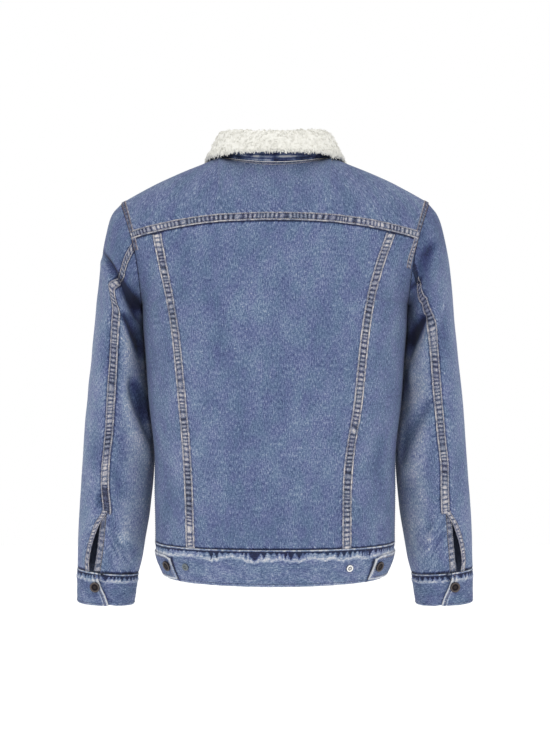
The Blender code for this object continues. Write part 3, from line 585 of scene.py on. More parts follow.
def sleeve_relief(side, seed):
    """Folds of a sleeve, worked out on the left one."""
    def relief(turn, ring, point):
        x, z = point[..., 0], point[..., 2]
        facing = np.sin(turn)
        height = smooth(0.02, 0.42, facing) * folds(x, z, SLEEVE_FOLDS[side, "back"])
        height += smooth(-0.02, -0.42, facing) * folds(x, z, SLEEVE_FOLDS[side, "front"])
        height += 0.0010 * noise(turn * 1.6, z / 0.07, seed)
        height += 0.0005 * noise(turn * 3.5, z / 0.03, seed + 1)
        above = np.maximum(z - SLEEVE.at(11, "outer_z"), 0)
        gathers = noise(turn / 0.19, z / 0.04, seed + 2)
        height += 0.0013 * gathers * np.exp(-above / 0.016)
        inwards = -np.cos(turn)
        facing_body = smooth(0.86, 0.97, inwards) * smooth(9.2, 8.6, ring)
        underarm = smooth(0.90, 0.99, inwards) * smooth(0.5, 1.2, ring) * smooth(5.0, 3.4, ring)
        return height * smooth(0, 0.8, ring) * (1 - facing_body) + 0.0018 * underarm
    return relief


POCKET_START = 0.0042


def band_relief(below, around, ridge_at, strength, seed, pitch):
    """Height and wear of a waistband or cuff at a distance below its top edge.

    Under the stitched edge hang unfaded pockets between pale pleats, and a worn
    ridge runs past their tips.
    """
    phase = around / pitch + 0.9 * noise(around / 0.019, 0, seed)
    peak = 1 - 2 * np.abs(phase - np.floor(phase) - 0.5)
    size = (0.12 + 0.98 * strength) * (0.45 + 0.60 * lattice(np.floor(phase), 0, seed + 1))
    tip = POCKET_START + (0.82 * ridge_at - POCKET_START) * size * peak
    ragged = 0.0009 * noise(around / 0.0018, below / 0.006, seed + 2)
    pocket = smooth(0.0008, -0.0008, below - tip + ragged) * smooth(0.0028, 0.0040, below)
    wave = (ridge_at * (0.58 + 0.17 * strength) + 0.28 * (tip - POCKET_START) * strength
            + 0.0008 * noise(around / 0.022, 0, seed + 3))
    crest = hill(below, wave, np.where(below > wave, 0.0034, 0.0017))
    crest = crest * (0.88 + 0.25 * noise(around / 0.008, 0, seed + 4))
    groove = hill(below - wave, 0.0050, 0.0011) * (0.5 + 0.5 * noise(around / 0.012, 0, seed + 5))
    pleats = smooth(0.0036, 0.0050, below) * smooth(wave, wave - 0.001, below) * (1 - pocket)
    strokes = noise(around / 0.0021, below / 0.012, seed + 6)
    dash = 0.62 + 0.38 * np.sin(2 * PI * around / 0.0033 + 1.4 * noise(around / 0.011, 0, seed + 7))
    seat = hill(below, 0.0034, 0.0009) * dash
    pale_end = 0.0017 + 0.0007 * noise(around / 0.0042, 0, seed + 8)
    pale_edge = smooth(pale_end + 0.0013, pale_end, below)
    pale_edge = pale_edge * (0.85 + 0.35 * noise(around / 0.003, 0, seed + 9))
    drag = noise(around / 0.011 + below / 0.007, below / 0.0024 - around / 0.011, seed + 10)
    mottle = noise(around / 0.010, below / 0.008, seed + 11)
    under = smooth(wave, wave + 0.004, below)
    height = (0.0011 * crest - 0.0009 * pocket - 0.0003 * groove + 0.0004 * pleats * strokes
              - 0.0004 * seat + 0.00028 * drag * under - 0.0006 * smooth(0.0012, 0, below))
    wear = (0.85 * pale_edge - 0.85 * seat - 1.05 * pocket + 0.75 * crest - 0.40 * groove
            + pleats * (0.20 + 0.42 * strokes) + under * (0.13 * drag + 0.09 * mottle))
    return height, wear


# How long the unfaded pockets are along the back of the waistband, from left to right
POCKETS = Table(
    "around strength",
    (-0.200, 0.40), (-0.150, 0.10), (-0.110, 0.15), (-0.098, 0.85), (-0.084, 0.75), (-0.070, 0.15),
    (-0.048, 0.25), (-0.038, 1.05), (-0.010, 0.85), (0.008, 0.45), (0.016, 1.00), (0.034, 0.95),
    (0.052, 0.30), (0.070, 0.85), (0.084, 0.40), (0.100, 1.00), (0.124, 0.30), (0.142, 0.85),
    (0.200, 0.45),
)


class Skin:
    """Cloth surface of (u, v): its base shape with its folds, and outward normals."""

    def __init__(self, base, relief, u_limits, v_limits, outward=1, mirrored=False,
                 steps=(0.004, 0.004)):
        self.base, self.relief = base, relief
        self.u_limits, self.v_limits = u_limits, v_limits
        self.outward, self.mirrored, self.steps = outward, mirrored, steps

    def flat(self):
        """The same surface without folds."""
        return Skin(self.base, no_relief, self.u_limits, self.v_limits, self.outward, self.mirrored,
                    self.steps)

    def differ(self, surface, u, v):
        """Normals of a surface from points just beside the given ones."""
        du, dv = self.steps
        along = surface(np.minimum(u + du, self.u_limits[1]), v)
        along = along - surface(np.maximum(u - du, self.u_limits[0]), v)
        up = surface(u, np.minimum(v + dv, self.v_limits[1]))
        up = up - surface(u, np.maximum(v - dv, self.v_limits[0]))
        return unit(np.cross(along, up)) * self.outward

    def left(self, u, v):
        """Points of the cloth before any mirroring."""
        u, v = floats(u, v)
        point = self.base(u, v)
        normal = self.differ(self.base, u, v)
        return point + normal * self.relief(u, v, point)[..., None]

    def flip(self, vectors):
        return vectors * np.array((-1, 1, 1)) if self.mirrored else vectors

    def __call__(self, u, v, lift=0.0):
        """Points of the cloth, moved out by lift."""
        u, v = floats(u, v)
        point = self.left(u, v)
        if np.any(lift):
            point = point + self.differ(self.left, u, v) * np.asarray(lift)[..., None]
        return self.flip(point)

    def normals(self, u, v):
        u, v = floats(u, v)
        return self.flip(self.differ(self.left, u, v))

    def width(self, first, last, v):
        """Length of the middle row between two values of u."""
        return lengths(self.base(np.linspace(first, last, 80), v[len(v) // 2]))[-1]

    def columns(self, first, last, v, count):
        """Values of u for count columns, evenly spaced along each row."""
        fine = first[:, None] + (last - first)[:, None] * np.linspace(0, 1, 4 * count)
        return np.array([np.interp(np.linspace(0, total[-1], count), total, row)
                         for total, row in zip(lengths(self.base(fine, v[:, None]), 1), fine)])

    def beside(self, u, v, distance):
        """Values of u at a distance along the row, towards greater u where it is positive."""
        distance = np.broadcast_to(distance, u.shape)
        reach = np.linspace(0, 0.6, 61)[:, None] * np.where(distance < 0, -1, 1)
        length = lengths(self.base(u + reach, v + 0 * reach))
        return u + [np.interp(*places) for places in zip(np.abs(distance), length.T, reach.T)]

    def above(self, u, v, distance):
        """Values of v at a distance up the column."""
        reach = np.linspace(0, 0.3, 61)[:, None]
        length = lengths(self.base(u + 0 * reach, v + reach))
        return v + [np.interp(distance, column, reach[:, 0]) for column in length.T]


def no_relief(u, v, point):
    return np.zeros(point.shape[:-1])


# Mean radius of the waistband and the cuffs, and the height of one cuff ring
BAND_AROUND = 0.175
CUFF_AROUND = 0.045
CUFF_RING = 0.0275


def waistband_look(turn, level):
    around = turn * BAND_AROUND
    strength = POCKETS.at(around, "strength")
    return band_relief(WAISTBAND_TOP - level, around, 0.0195, strength, 31, 0.0086)


def cuff_look(turn, ring, seed):
    return band_relief(ring * CUFF_RING, turn * CUFF_AROUND, 0.0165, 0.75, seed, 0.0072)


def tube_skin(table, side, relief, rings, ring_step):
    """Skin of a sleeve or cuff, mirrored for the right one."""
    return Skin(lambda u, v: tube(table, v, u), relief, ALL_ROUND, (0, rings), -1, side == "right",
                (0.006, ring_step))


def cuff_skin(side, seed):
    return tube_skin(CUFF, side, lambda turn, ring, point: cuff_look(turn, ring, seed)[0], 2, 0.01)


# Limits of a turn: any for tubes, from side to side for the body
ALL_ROUND = (-9, 9)
HALF_ROUND = (-QUARTER, QUARTER)
BACK = Skin(lambda u, v: body(u, v, True), body_relief("back", 11), HALF_ROUND, (0, 2))
FRONT = Skin(lambda u, v: body(u, v, False), body_relief("front", 21), HALF_ROUND, (0, 2))
BAND = Skin(band, lambda turn, level, point: waistband_look(turn, level)[0], ALL_ROUND,
            (HEM_HEIGHT, WAISTBAND_TOP), steps=(0.004, 0.0006))
BAND_FLAT = BAND.flat()
SLEEVE_SEEDS = {"left": 41, "right": 51}
CUFF_SEEDS = {"left": 61, "right": 71}
SLEEVES = {side: tube_skin(SLEEVE, side, sleeve_relief(side, seed), 11, 0.006)
           for side, seed in SLEEVE_SEEDS.items()}
CUFFS = {side: cuff_skin(side, seed) for side, seed in CUFF_SEEDS.items()}


def seam_line(side, v):
    """Turn of a curved back seam at v, kept as at the yoke seam above it."""
    level = body_level(v, True)
    return np.arcsin(-BACK_SEAMS.at(level, side + "_x") / edge(level, True)[..., 0])


# ---------------------------------------------------------------- meshes

STITCHES = {"beige": [], "copper": [], "indigo": []}


def mesh_object(name, points, faces, fields, material):
    """Object from points and faces, with named values at its points."""
    mesh = bpy.data.meshes.new(name)
    mesh.from_pydata(np.asarray(points).tolist(), [], faces)
    for key, values in fields.items():
        values = np.asarray(values, float)
        kind = "FLOAT_VECTOR" if values.ndim > 1 else "FLOAT"
        field = mesh.attributes.new(key, kind, "POINT")
        field.data.foreach_set("vector" if values.ndim > 1 else "value", values.ravel())
    mesh.validate()
    mesh.shade_smooth()
    mesh.materials.append(MATERIALS[material])
    piece = bpy.data.objects.new(name, mesh)
    bpy.context.scene.collection.objects.link(piece)
    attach(piece, "root")
    return piece


def grid_faces(index, flipped=False):
    """Quads between the neighbours in a grid of point numbers."""
    quads = np.stack([index[:-1, :-1], index[:-1, 1:], index[1:, 1:], index[1:, :-1]], axis=-1)
    quads = quads.reshape(-1, 4)
    return (quads[:, ::-1] if flipped else quads).tolist()


# Seam field of cloth without a seam near it: distance, place along it and strength of the painted shadow
# beside it
NO_SEAM = (1.0, 0.0, 0.0)


def rim(grid):
    """Values of a grid along its border."""
    return np.concatenate([grid[0, :-1], grid[:-1, -1], grid[-1, :0:-1], grid[:0:-1, 0]])


def shell(name, points, outer_normals, thickness, material, fields, every=2):
    """Closed wall between a grid of outer points and a coarser grid moved in."""
    rows, columns = points.shape[:2]
    normals = unit(np.cross(np.gradient(points, axis=1), np.gradient(points, axis=0)))
    facing = np.sign((normals * outer_normals).sum(-1).mean())
    moved = points - normals * facing * np.broadcast_to(thickness, (rows, columns))[..., None]
    kept = np.ix_(*(np.append(np.arange(0, size - 1, every), size - 1) for size in (rows, columns)))
    inner = moved[kept]
    count, inner_count = rows * columns, inner.shape[0] * inner.shape[1]
    outer_index = np.arange(count).reshape(rows, columns)
    inner_index = count + np.arange(inner_count).reshape(inner.shape[:2])
    faces = grid_faces(outer_index, facing < 0) + grid_faces(inner_index, facing > 0)
    link = np.full((rows, columns), -1)
    link[kept] = inner_index
    outer_rim, inner_rim = rim(outer_index), rim(link)
    places = np.flatnonzero(inner_rim >= 0)
    for place, after in zip(places, np.append(places[1:], len(outer_rim))):
        path = outer_rim[np.arange(after, place - 1, -1) % len(outer_rim)]
        face = [*path.tolist(), int(inner_rim[place]), int(inner_rim[after % len(inner_rim)])]
        faces.append(face if facing > 0 else face[::-1])
    both = {"inside": np.concatenate([np.zeros(count), np.ones(inner_count)])}
    for key, value in {"seam": np.broadcast_to(NO_SEAM, points.shape), **fields}.items():
        value = np.asarray(value, float).reshape(rows, columns, -1)
        outer, kept_value = (part.reshape(-1, value.shape[-1]) for part in (value, value[kept]))
        both[key] = np.concatenate([outer, kept_value]).squeeze()
    vertices = np.concatenate([points.reshape(-1, 3), inner.reshape(-1, 3)])
    return mesh_object(name, vertices, faces, both, material)


def tube_faces(count, stations, corners):
    """Faces of many small closed tubes with the same stations and corners."""
    ring = np.arange(corners)
    start = (np.arange(stations - 1) * corners)[:, None]
    a, b = start + ring, start + (ring + 1) % corners
    sides = np.stack([a, b, b + corners, a + corners], axis=-1).reshape(-1, 4)
    ends = np.stack([ring[::-1], ring + (stations - 1) * corners])
    first = (np.arange(count) * stations * corners)[:, None, None]
    return (sides + first).reshape(-1, 4).tolist() + (ends + first).reshape(-1, corners).tolist()


def cloth_places(points, seed, turned=False):
    """Places in the flat cloth, in metres: across, along, and a number for the piece."""
    across = lengths(points, 1)
    across -= across[:, across.shape[1] // 2][:, None]
    along = lengths(points[:, points.shape[1] // 2])[:, None]
    return stack(along, across, seed) if turned else stack(across, along, seed)


def even(step, line, *others):
    """A line of points spaced evenly, and other lines read at the same places."""
    length = lengths(line)
    places = np.linspace(0, length[-1], max(int(length[-1] / step), 2) + 1)
    return [np.stack([np.interp(places, length, values[:, i]) for i in range(3)], axis=-1)
            for values in (line, *others)]


# Spacing of the worn rungs of seams and of vent facings
RUNG_PITCH = 0.0068
FACING_PITCH = 0.0100


def ladder(along, share, seed, zone=None, pitch=RUNG_PITCH):
    """Worn and unfaded rungs between two stitch rows: (zone, rung), each about -1 to 1."""
    if zone is None:
        zone = np.clip(1.5 * noise(along / 0.036, 0, seed + 2), -1, 1)
    slant = 0.55 * noise(along / 0.045, 0, seed + 3)
    phase = along / pitch + 0.8 * noise(along / 0.017, 0, seed) + slant * (share - 0.5)
    wave = 2 * np.abs(phase - np.floor(phase) - 0.5)
    gap = 0.42 - 0.16 * zone
    rung = 2 * smooth(gap - 0.28, gap + 0.28, wave) - 1
    strength = 0.72 + 0.28 * noise(along / 0.008, share * 1.7, seed + 1)
    return zone, rung * strength * (1 - 0.6 * smooth(-0.4, -0.9, zone))


# Across a lapped seam as shares of its width, from the side that runs into the cloth
SEAM_PROFILE = Table(
    "place height wear rungs",
    (0.000, -0.45, -0.10, 0.00),
    (0.050, 0.30, 0.45, 0.10),
    (0.110, 0.75, 0.78, 0.10),
    (0.170, 0.40, -0.05, 0.20),
    (0.235, 0.80, -0.35, 0.80),
    (0.380, 1.10, -0.04, 1.00),
    (0.500, 1.15, -0.02, 1.00),
    (0.620, 1.10, -0.04, 1.00),
    (0.765, 0.90, -0.35, 0.80),
    (0.830, 0.50, -0.05, 0.20),
    (0.890, 1.05, 0.82, 0.10),
    (0.955, 1.10, 0.78, 0.10),
    # The dark values at the stepped edge are painted shadow
    (0.990, 0.55, -0.50, 0.00),
    (1.000, -0.50, -1.00, 0.00),
)
# Shares of a seam's width where its two stitch rows run
STITCH_PLACES = (0.17, 0.83)


def on_skin(skin, near, far):
    """Finder of points and normals on a skin between two lines of (u, v)."""
    def at(t, share):
        marks = np.linspace(0, 1, len(near[0]))
        u, v = ((1 - share) * np.interp(t, marks, a) + share * np.interp(t, marks, b)
                for a, b in zip(near, far))
        return skin(u, v), skin.normals(u, v)
    return at


def across_skins(near_skin, near, far_skin, far):
    """Finder of points and normals between a line on one skin and a line on another."""
    def at(t, share):
        marks = np.linspace(0, 1, len(near[0]))
        (a, up_a), (b, up_b) = ((skin(u, v), skin.normals(u, v)) for skin, (u, v) in (
            (near_skin, (np.interp(t, marks, line) for line in near)),
            (far_skin, (np.interp(t, marks, line) for line in far))))
        share = np.asarray(share)[..., None]
        return a + (b - a) * share, unit(up_a + (up_b - up_a) * share)
    return at


def strip(name, at, seed, thread="beige", worn=1.0, scale=1.0, zoned=None, wear_and_shade_lines=()):
    """Lapped seam on the cloth: a raised band with its stitches, worn edges and rungs, painted shadow at
    its stepped edge and painted crease shade from the given lines.
    """
    t = np.linspace(0, 1, 300)
    length = lengths(at(t, 0.5 + 0 * t)[0])
    along = np.linspace(0, length[-1], int(length[-1] / STRIP_STEP) + 1)
    t = np.interp(along, length, t)
    shares = SEAM_PROFILE.keys
    rungs, height = SEAM_PROFILE.values["rungs"], SEAM_PROFILE.values["height"] * 0.001 * scale
    width = np.linalg.norm(at(t[:1], np.ones(1))[0] - at(t[:1], np.zeros(1))[0])
    zone = np.interp(along / length[-1], *zip(*zoned))[:, None] if zoned else None
    zone, rung = ladder(along[:, None], shares[None, :], seed, zone)
    lumps = rungs[None, :] * rung
    base, normals = at(t[:, None] + 0 * shares[None], shares[None] + 0 * t[:, None])
    points = base + normals * (height[None, :] + 0.00025 * lumps)[..., None]
    frayed = 0.75 + 0.45 * noise(along / 0.0045, 0, seed + 5) + 0.2 * noise(along / 0.03, 0, seed + 6)
    edges = SEAM_PROFILE.values["wear"][None, :]
    wear = np.where(edges > 0, edges * frayed[:, None], edges) + 0.74 * lumps + 0.28 * zone * rungs[None, :]
    wear = wear * worn + folds(np.abs(points[..., 0]), points[..., 2], wear_and_shade_lines)
    rows, columns = points.shape[:2]
    index = np.arange(rows * columns).reshape(rows, columns)
    faces = grid_faces(np.concatenate([index, index[:, :1]], axis=1))
    faces += [index[0].tolist(), index[-1, ::-1].tolist()]
    outward = np.cross(points[1, 5] - points[0, 5], points[0, 6] - points[0, 5])
    if (outward * normals[0, 5]).sum() > 0:
        faces = [face[::-1] for face in faces]
    cloth = stack(shares[None, :] * width, along[:, None], seed)
    fields = {"cloth": cloth.reshape(-1, 3), "wear": wear.ravel(),
              "seam": np.tile(NO_SEAM, (rows * columns, 1)), "inside": np.zeros(rows * columns)}
    piece = mesh_object(name, points.reshape(-1, 3), faces, fields, "seam")
    if thread:
        for share in STITCH_PLACES:
            line, up = at(t, share + 0 * t)
            lift = np.interp(share, shares, height)
            stitch_row(line + up * (lift + 0.0002), up, thread)


def stitch_row(line, normals, thread="beige"):
    """Stitches along a line, kept until all of them are joined."""
    line, normals = even(STITCH_PITCH / 4, line, normals)
    middles = line[2::4]
    forward = unit(np.gradient(line, axis=0))[2::4]
    STITCHES[thread].append((middles, forward, unit(normals[2::4])))


# Place along a stitch, radius and rise, as shares of its pitch and radius
STITCH_STATIONS = ((-0.46, 0.15, -0.7), (-0.30, 1.0, 0.0), (0.0, 1.15, 0.25), (0.30, 1.0, 0.0),
                   (0.46, 0.15, -0.7))
STITCH_RADIUS = 0.00034


def make_stitches(thread, rows):
    """All the stitches of one thread as one mesh."""
    middles, forward, normals = (np.concatenate([row[i] for row in rows]) for i in range(3))
    side = unit(np.cross(forward, normals))
    rings = []
    for place, radius, rise in STITCH_STATIONS:
        centre = middles + forward * place * STITCH_PITCH * 0.92 + normals * rise * STITCH_RADIUS
        for corner in range(4):
            angle = corner * QUARTER
            around = side * np.cos(angle) + normals * np.sin(angle)
            rings.append(centre + around * STITCH_RADIUS * radius)
    points = np.stack(rings, axis=1)
    count, per = points.shape[:2]
    tone = np.repeat(lattice(np.arange(count), 3, 5), per)
    points = points.reshape(-1, 3)
    piece = mesh_object(f"thread_{thread}", points, tube_faces(count, len(STITCH_STATIONS), 4),
                        {"tone": tone, "cloth": points}, thread)


# ------------------------------------------------------------- materials

class Graph:
    """Short calls for building a material out of nodes."""

    def __init__(self, name):
        self.material = bpy.data.materials.new(name)
        self.material.use_nodes = True
        self.tree = self.material.node_tree
        self.tree.nodes.clear()

    def node(self, kind, inputs=None, **settings):
        made = self.tree.nodes.new("ShaderNode" + kind)
        for key, value in settings.items():
            setattr(made, key, value)
        for key, value in (inputs or {}).items():
            if isinstance(value, bpy.types.NodeSocket):
                self.tree.links.new(value, made.inputs[key])
            else:
                made.inputs[key].default_value = value
        return made

    def field(self, name):
        return self.node("Attribute", attribute_name=name)

    def math(self, operation, *values, clamp=False):
        return self.node("Math", dict(enumerate(values)), operation=operation, use_clamp=clamp).outputs[0]

    def add(self, value, factor, total):
        """Value times factor, plus total."""
        return self.math("MULTIPLY_ADD", value, factor, total)

    def centred(self, value):
        return self.math("SUBTRACT", value, 0.5)

    def scaled(self, vector, scale):
        return self.node("Mapping", {"Vector": vector, "Scale": scale}).outputs[0]

    def noise(self, vector, scale=1.0, detail=2.0, roughness=0.5):
        return self.node("TexNoise", {"Vector": vector, "Scale": scale, "Detail": detail,
                                      "Roughness": roughness}).outputs["Fac"]

    def ramp(self, value, *stops):
        made = self.node("ValToRGB", {"Fac": value})
        marks = made.color_ramp.elements
        while len(marks) < len(stops):
            marks.new(0.5)
        for mark, (place, colour) in zip(marks, stops):
            mark.position = place
            mark.color = (*colour, 1)
        return made.outputs["Color"]

    def mix(self, share, first, second):
        made = self.node("Mix", {"Factor": share}, data_type="RGBA")
        for place, value in ((6, first), (7, second)):
            if isinstance(value, bpy.types.NodeSocket):
                self.tree.links.new(value, made.inputs[place])
            else:
                made.inputs[place].default_value = (*value, 1)
        return made.outputs[2]

    def range(self, value, low, high, first, last):
        limits = {"Value": value, "From Min": low, "From Max": high, "To Min": first, "To Max": last}
        return self.node("MapRange", limits, interpolation_type="SMOOTHSTEP").outputs[0]

    def finish(self, colour, height=None, distance=0.001, strength=1.0, **settings):
        inputs = {"Base Color": colour}
        inputs.update({key.replace("_", " "): value for key, value in settings.items()})
        if height is not None:
            bump = self.node("Bump", {"Height": height, "Distance": distance, "Strength": strength})
            inputs["Normal"] = bump.outputs[0]
        shader = self.node("BsdfPrincipled", inputs)
        output = self.node("OutputMaterial", {"Surface": shader.outputs[0]})
        output.is_active_output = True
        return self.material


CLOTH_TONES = (
    (0.00, (0.012, 0.017, 0.046)),
    (0.22, (0.032, 0.050, 0.130)),
    (0.50, (0.093, 0.132, 0.246)),
    (0.74, (0.215, 0.266, 0.385)),
    (1.00, (0.560, 0.570, 0.600)),
)
SEAM_TONES = (
    (0.00, (0.010, 0.012, 0.026)),
    (0.22, (0.034, 0.041, 0.080)),
    (0.50, (0.100, 0.122, 0.195)),
    (0.74, (0.245, 0.255, 0.315)),
    (1.00, (0.640, 0.595, 0.570)),
)


# Scale, detail and roughness of each layer of yarns and clouds, and its share of the tone
DENIM_LAYERS = (
    ((560, 190, 40), 4.0, 0.6, 1.40),
    ((660, 560, 40), 3.0, 0.7, 1.15),
    ((190, 800, 40), 2.0, 0.5, 0.35),
    ((34, 20, 40), 4.0, 0.5, 0.36),
)


def denim_material(name, fade=0.0, tones=CLOTH_TONES, reverse=(0.080, 0.100, 0.165)):
    """Washed denim: twill of slubby yarns, faded by wear and darkened by painted shade, puckered at seams.
    """
    g = Graph(name)
    cloth = g.field("cloth").outputs["Vector"]
    wear = g.field("wear").outputs["Fac"]
    seam = g.node("SeparateXYZ", {"Vector": g.field("seam").outputs["Vector"]})
    tints = g.noise(g.scaled(cloth, (55, 30, 17)), detail=2.0)
    twill = g.node("VectorMath", {0: cloth, 1: (5200, 3600, 0)}, operation="DOT_PRODUCT").outputs["Value"]
    twill = g.math("SINE", twill)
    texture, layers = 0.0, []
    for scale, detail, roughness, share in DENIM_LAYERS:
        layers.append(g.noise(g.scaled(cloth, scale), detail=detail, roughness=roughness))
        texture = g.add(g.centred(layers[-1]), share, texture)
    streaks, grain = layers[:2]
    texture = g.add(twill, 0.035, texture)
    distance, along, seam_shadow_strength = seam.outputs
    near = g.range(distance, 0.0, 0.010, 1.0, 0.0)
    place = g.node("CombineXYZ", {"X": g.math("MULTIPLY", g.add(distance, 0.8, along), 250.0),
                                  "Y": g.math("MULTIPLY", distance, 70.0)}).outputs[0]
    pucker = g.math("MULTIPLY", g.centred(g.noise(place, detail=1.0)), near)
    # Painted shadow along lapped seam edges and panel ends, as strong as the seam field says
    seam_shadow = g.math("MULTIPLY", g.range(distance, 0.0, 0.0028, 1.0, 0.0), seam_shadow_strength)
    tone = g.add(wear, 0.5, 0.5 + fade)
    tone = g.add(texture, g.add(g.math("ABSOLUTE", wear), -0.35, 0.85), tone)
    tone = g.add(pucker, 0.90, tone)
    tone = g.add(seam_shadow, -0.60, tone)
    hue = g.range(tints, 0.3, 0.7, 0.490, 0.512)
    colour = g.node("HueSaturation", {"Hue": hue, "Color": g.ramp(tone, *tones)}).outputs[0]
    backing = g.mix(grain, *(tuple(share * part for part in reverse) for share in (0.75, 1.3)))
    colour = g.mix(g.field("inside").outputs["Fac"], colour, backing)
    height = g.add(twill, 0.16, g.math("MULTIPLY", grain, 0.7))
    height = g.add(streaks, 0.7, height)
    height = g.add(pucker, 2.2, height)
    return g.finish(colour, height, distance=0.0007, strength=0.55, Roughness=0.92,
                    Sheen_Weight=0.06, Sheen_Roughness=0.6, Specular_IOR_Level=0.25)


def thread_material(name, light, dark):
    g = Graph(name)
    tone = g.field("tone").outputs["Fac"]
    twist = g.noise(g.scaled(g.field("cloth").outputs["Vector"], (900, 900, 900)), detail=2.0)
    colour = g.mix(tone, light, dark)
    colour = g.mix(g.range(twist, 0.35, 0.75, 0.0, 0.6), colour, tuple(part * 0.45 for part in dark))
    return g.finish(colour, twist, distance=0.0002, strength=0.6, Roughness=0.75)


def sherpa_material(name, light=(0.82, 0.81, 0.755), dark=(0.69, 0.68, 0.625)):
    """Cream pile with painted shade between its curls."""
    g = Graph(name)
    cloth = g.field("cloth").outputs["Vector"]
    depth = g.field("wear").outputs["Fac"]
    curls = g.noise(g.scaled(cloth, (420, 420, 420)), detail=3.0, roughness=0.7)
    clouds = g.noise(g.scaled(cloth, (60, 60, 60)), detail=2.0)
    tone = g.add(g.centred(curls), 0.9, depth)
    tone = g.add(g.centred(clouds), 0.3, tone)
    colour = g.mix(g.range(tone, 0.0, 0.75, 0.0, 1.0), dark, light)
    return g.finish(colour, curls, distance=0.0012, strength=0.7, Roughness=1.0,
                    Sheen_Weight=0.3, Sheen_Roughness=0.5, Specular_IOR_Level=0.1)


def metal_material(name, light, dark, roughness):
    """Plated metal with a worn, cloudy finish."""
    g = Graph(name)
    place = g.field("cloth").outputs["Vector"]
    clouds = g.noise(g.scaled(place, (500, 500, 500)), detail=4.0, roughness=0.65)
    rub = g.field("wear").outputs["Fac"]
    tone = g.add(rub, 0.7, g.math("MULTIPLY", clouds, 0.5))
    colour = g.mix(g.range(tone, 0.2, 0.95, 0.0, 1.0), dark, light)
    rough = g.range(clouds, 0.3, 0.7, roughness - 0.08, roughness + 0.12)
    return g.finish(colour, clouds, distance=0.0002, strength=0.25, Roughness=rough, Metallic=1.0)


MATERIALS = {
    "denim": denim_material("washed_denim", fade=0.012),
    "band": denim_material("band_denim", fade=0.04),
    "dark": denim_material("collar_denim", fade=-0.13),
    "seam": denim_material("seam_denim", tones=SEAM_TONES),
    "beige": thread_material("beige_thread", (0.52, 0.47, 0.43), (0.33, 0.29, 0.27)),
    "copper": thread_material("copper_thread", (0.36, 0.22, 0.14), (0.22, 0.13, 0.08)),
    "indigo": thread_material("indigo_thread", (0.080, 0.095, 0.160), (0.030, 0.040, 0.085)),
    "sherpa": sherpa_material("cream_sherpa"),
    "antique": metal_material("antique_metal", (0.115, 0.098, 0.094), (0.018, 0.016, 0.019), 0.50),
    "nickel": metal_material("bright_nickel", (0.86, 0.85, 0.83), (0.16, 0.16, 0.16), 0.30),
    "tarnished": metal_material("tarnished_nickel", (0.215, 0.240, 0.255), (0.105, 0.125, 0.150), 0.60),
}


# ---------------------------------------------------------------- pieces

def rows_between(first, last, step):
    return np.linspace(first, last, max(int(abs(last - first) / step), 2) + 1)


def sheet(node, points):
    """Hides the CAD part of a cloth piece; the flat size of what shows of it is worked out but not used."""
    width = max(lengths(row)[-1] for row in points[::8])
    length = max(lengths(points[:, i])[-1] for i in range(0, points.shape[1], 8))
    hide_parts(node)


def nearest_seam(points, *seams):
    """Seam field of a grid: distance to its nearest border seam, place along it and strength of the painted
    shadow there.
    """
    best, along, seam_shadow_strength = (np.full(points.shape[:2], value) for value in NO_SEAM)
    across, up = lengths(points, 1), lengths(points)
    for side, offset, seam_shadow in seams:
        distance, place = {
            "left": (across, up), "right": (across[:, -1:] - across, up),
            "bottom": (up, across), "top": (up[-1:] - up, across)}[side]
        distance = np.maximum(distance - offset, 0)
        closer = distance < best
        best = np.where(closer, distance, best)
        along = np.where(closer, place, along)
        seam_shadow_strength = np.where(closer, seam_shadow, seam_shadow_strength)
    return stack(best, along, seam_shadow_strength)


# How far the bottom of a panel is tucked in behind the waistband or cuff, and down
TUCK_IN = 0.0016
TUCK_DOWN = 0.0030


def panel(name, skin, first, last, v, seed, seams, node, shade=None, tucked=False):
    """Cloth panel between two lines of a skin, for rows at the values of v."""
    count = max(int(skin.width(first.min(), last.max(), v) / CLOTH_STEP), 3)
    u = skin.columns(first, last, v, count)
    rows = v[:, None] + 0 * u
    points, normals = skin(u, rows), skin.normals(u, rows)
    relief = skin.relief(u, rows, skin.base(u, rows))
    # Fold troughs get painted shade, partly also unfaded cloth there, and ridges a little paler
    wear = np.clip(relief / 0.006, -1.2, 0.2) * 0.5
    if shade:
        wear = wear + shade(u, rows, skin.base(u, rows))
    fields = {"cloth": cloth_places(points, seed), "seam": nearest_seam(points, *seams), "wear": wear}
    piece_points = points
    if tucked:
        tuck = points[:1] - normals[:1] * TUCK_IN - np.array((0, 0, TUCK_DOWN))
        piece_points, normals = np.concatenate([tuck, points]), np.concatenate([normals[:1], normals])
        fields = {key: np.concatenate([field[:1], field]) for key, field in fields.items()}
    piece = shell(name, piece_points, normals, DENIM, "denim", fields)
    sheet(node, points)


def full(v, value):
    return np.full(len(v), float(value))


# Half the width of the curved seams, how far the yoke seam reaches up, and v at its lower edge
HALF_BACK_SEAM = 0.0079
YOKE_SEAM_REACH = 0.0136
YOKE_LINE = 1.016
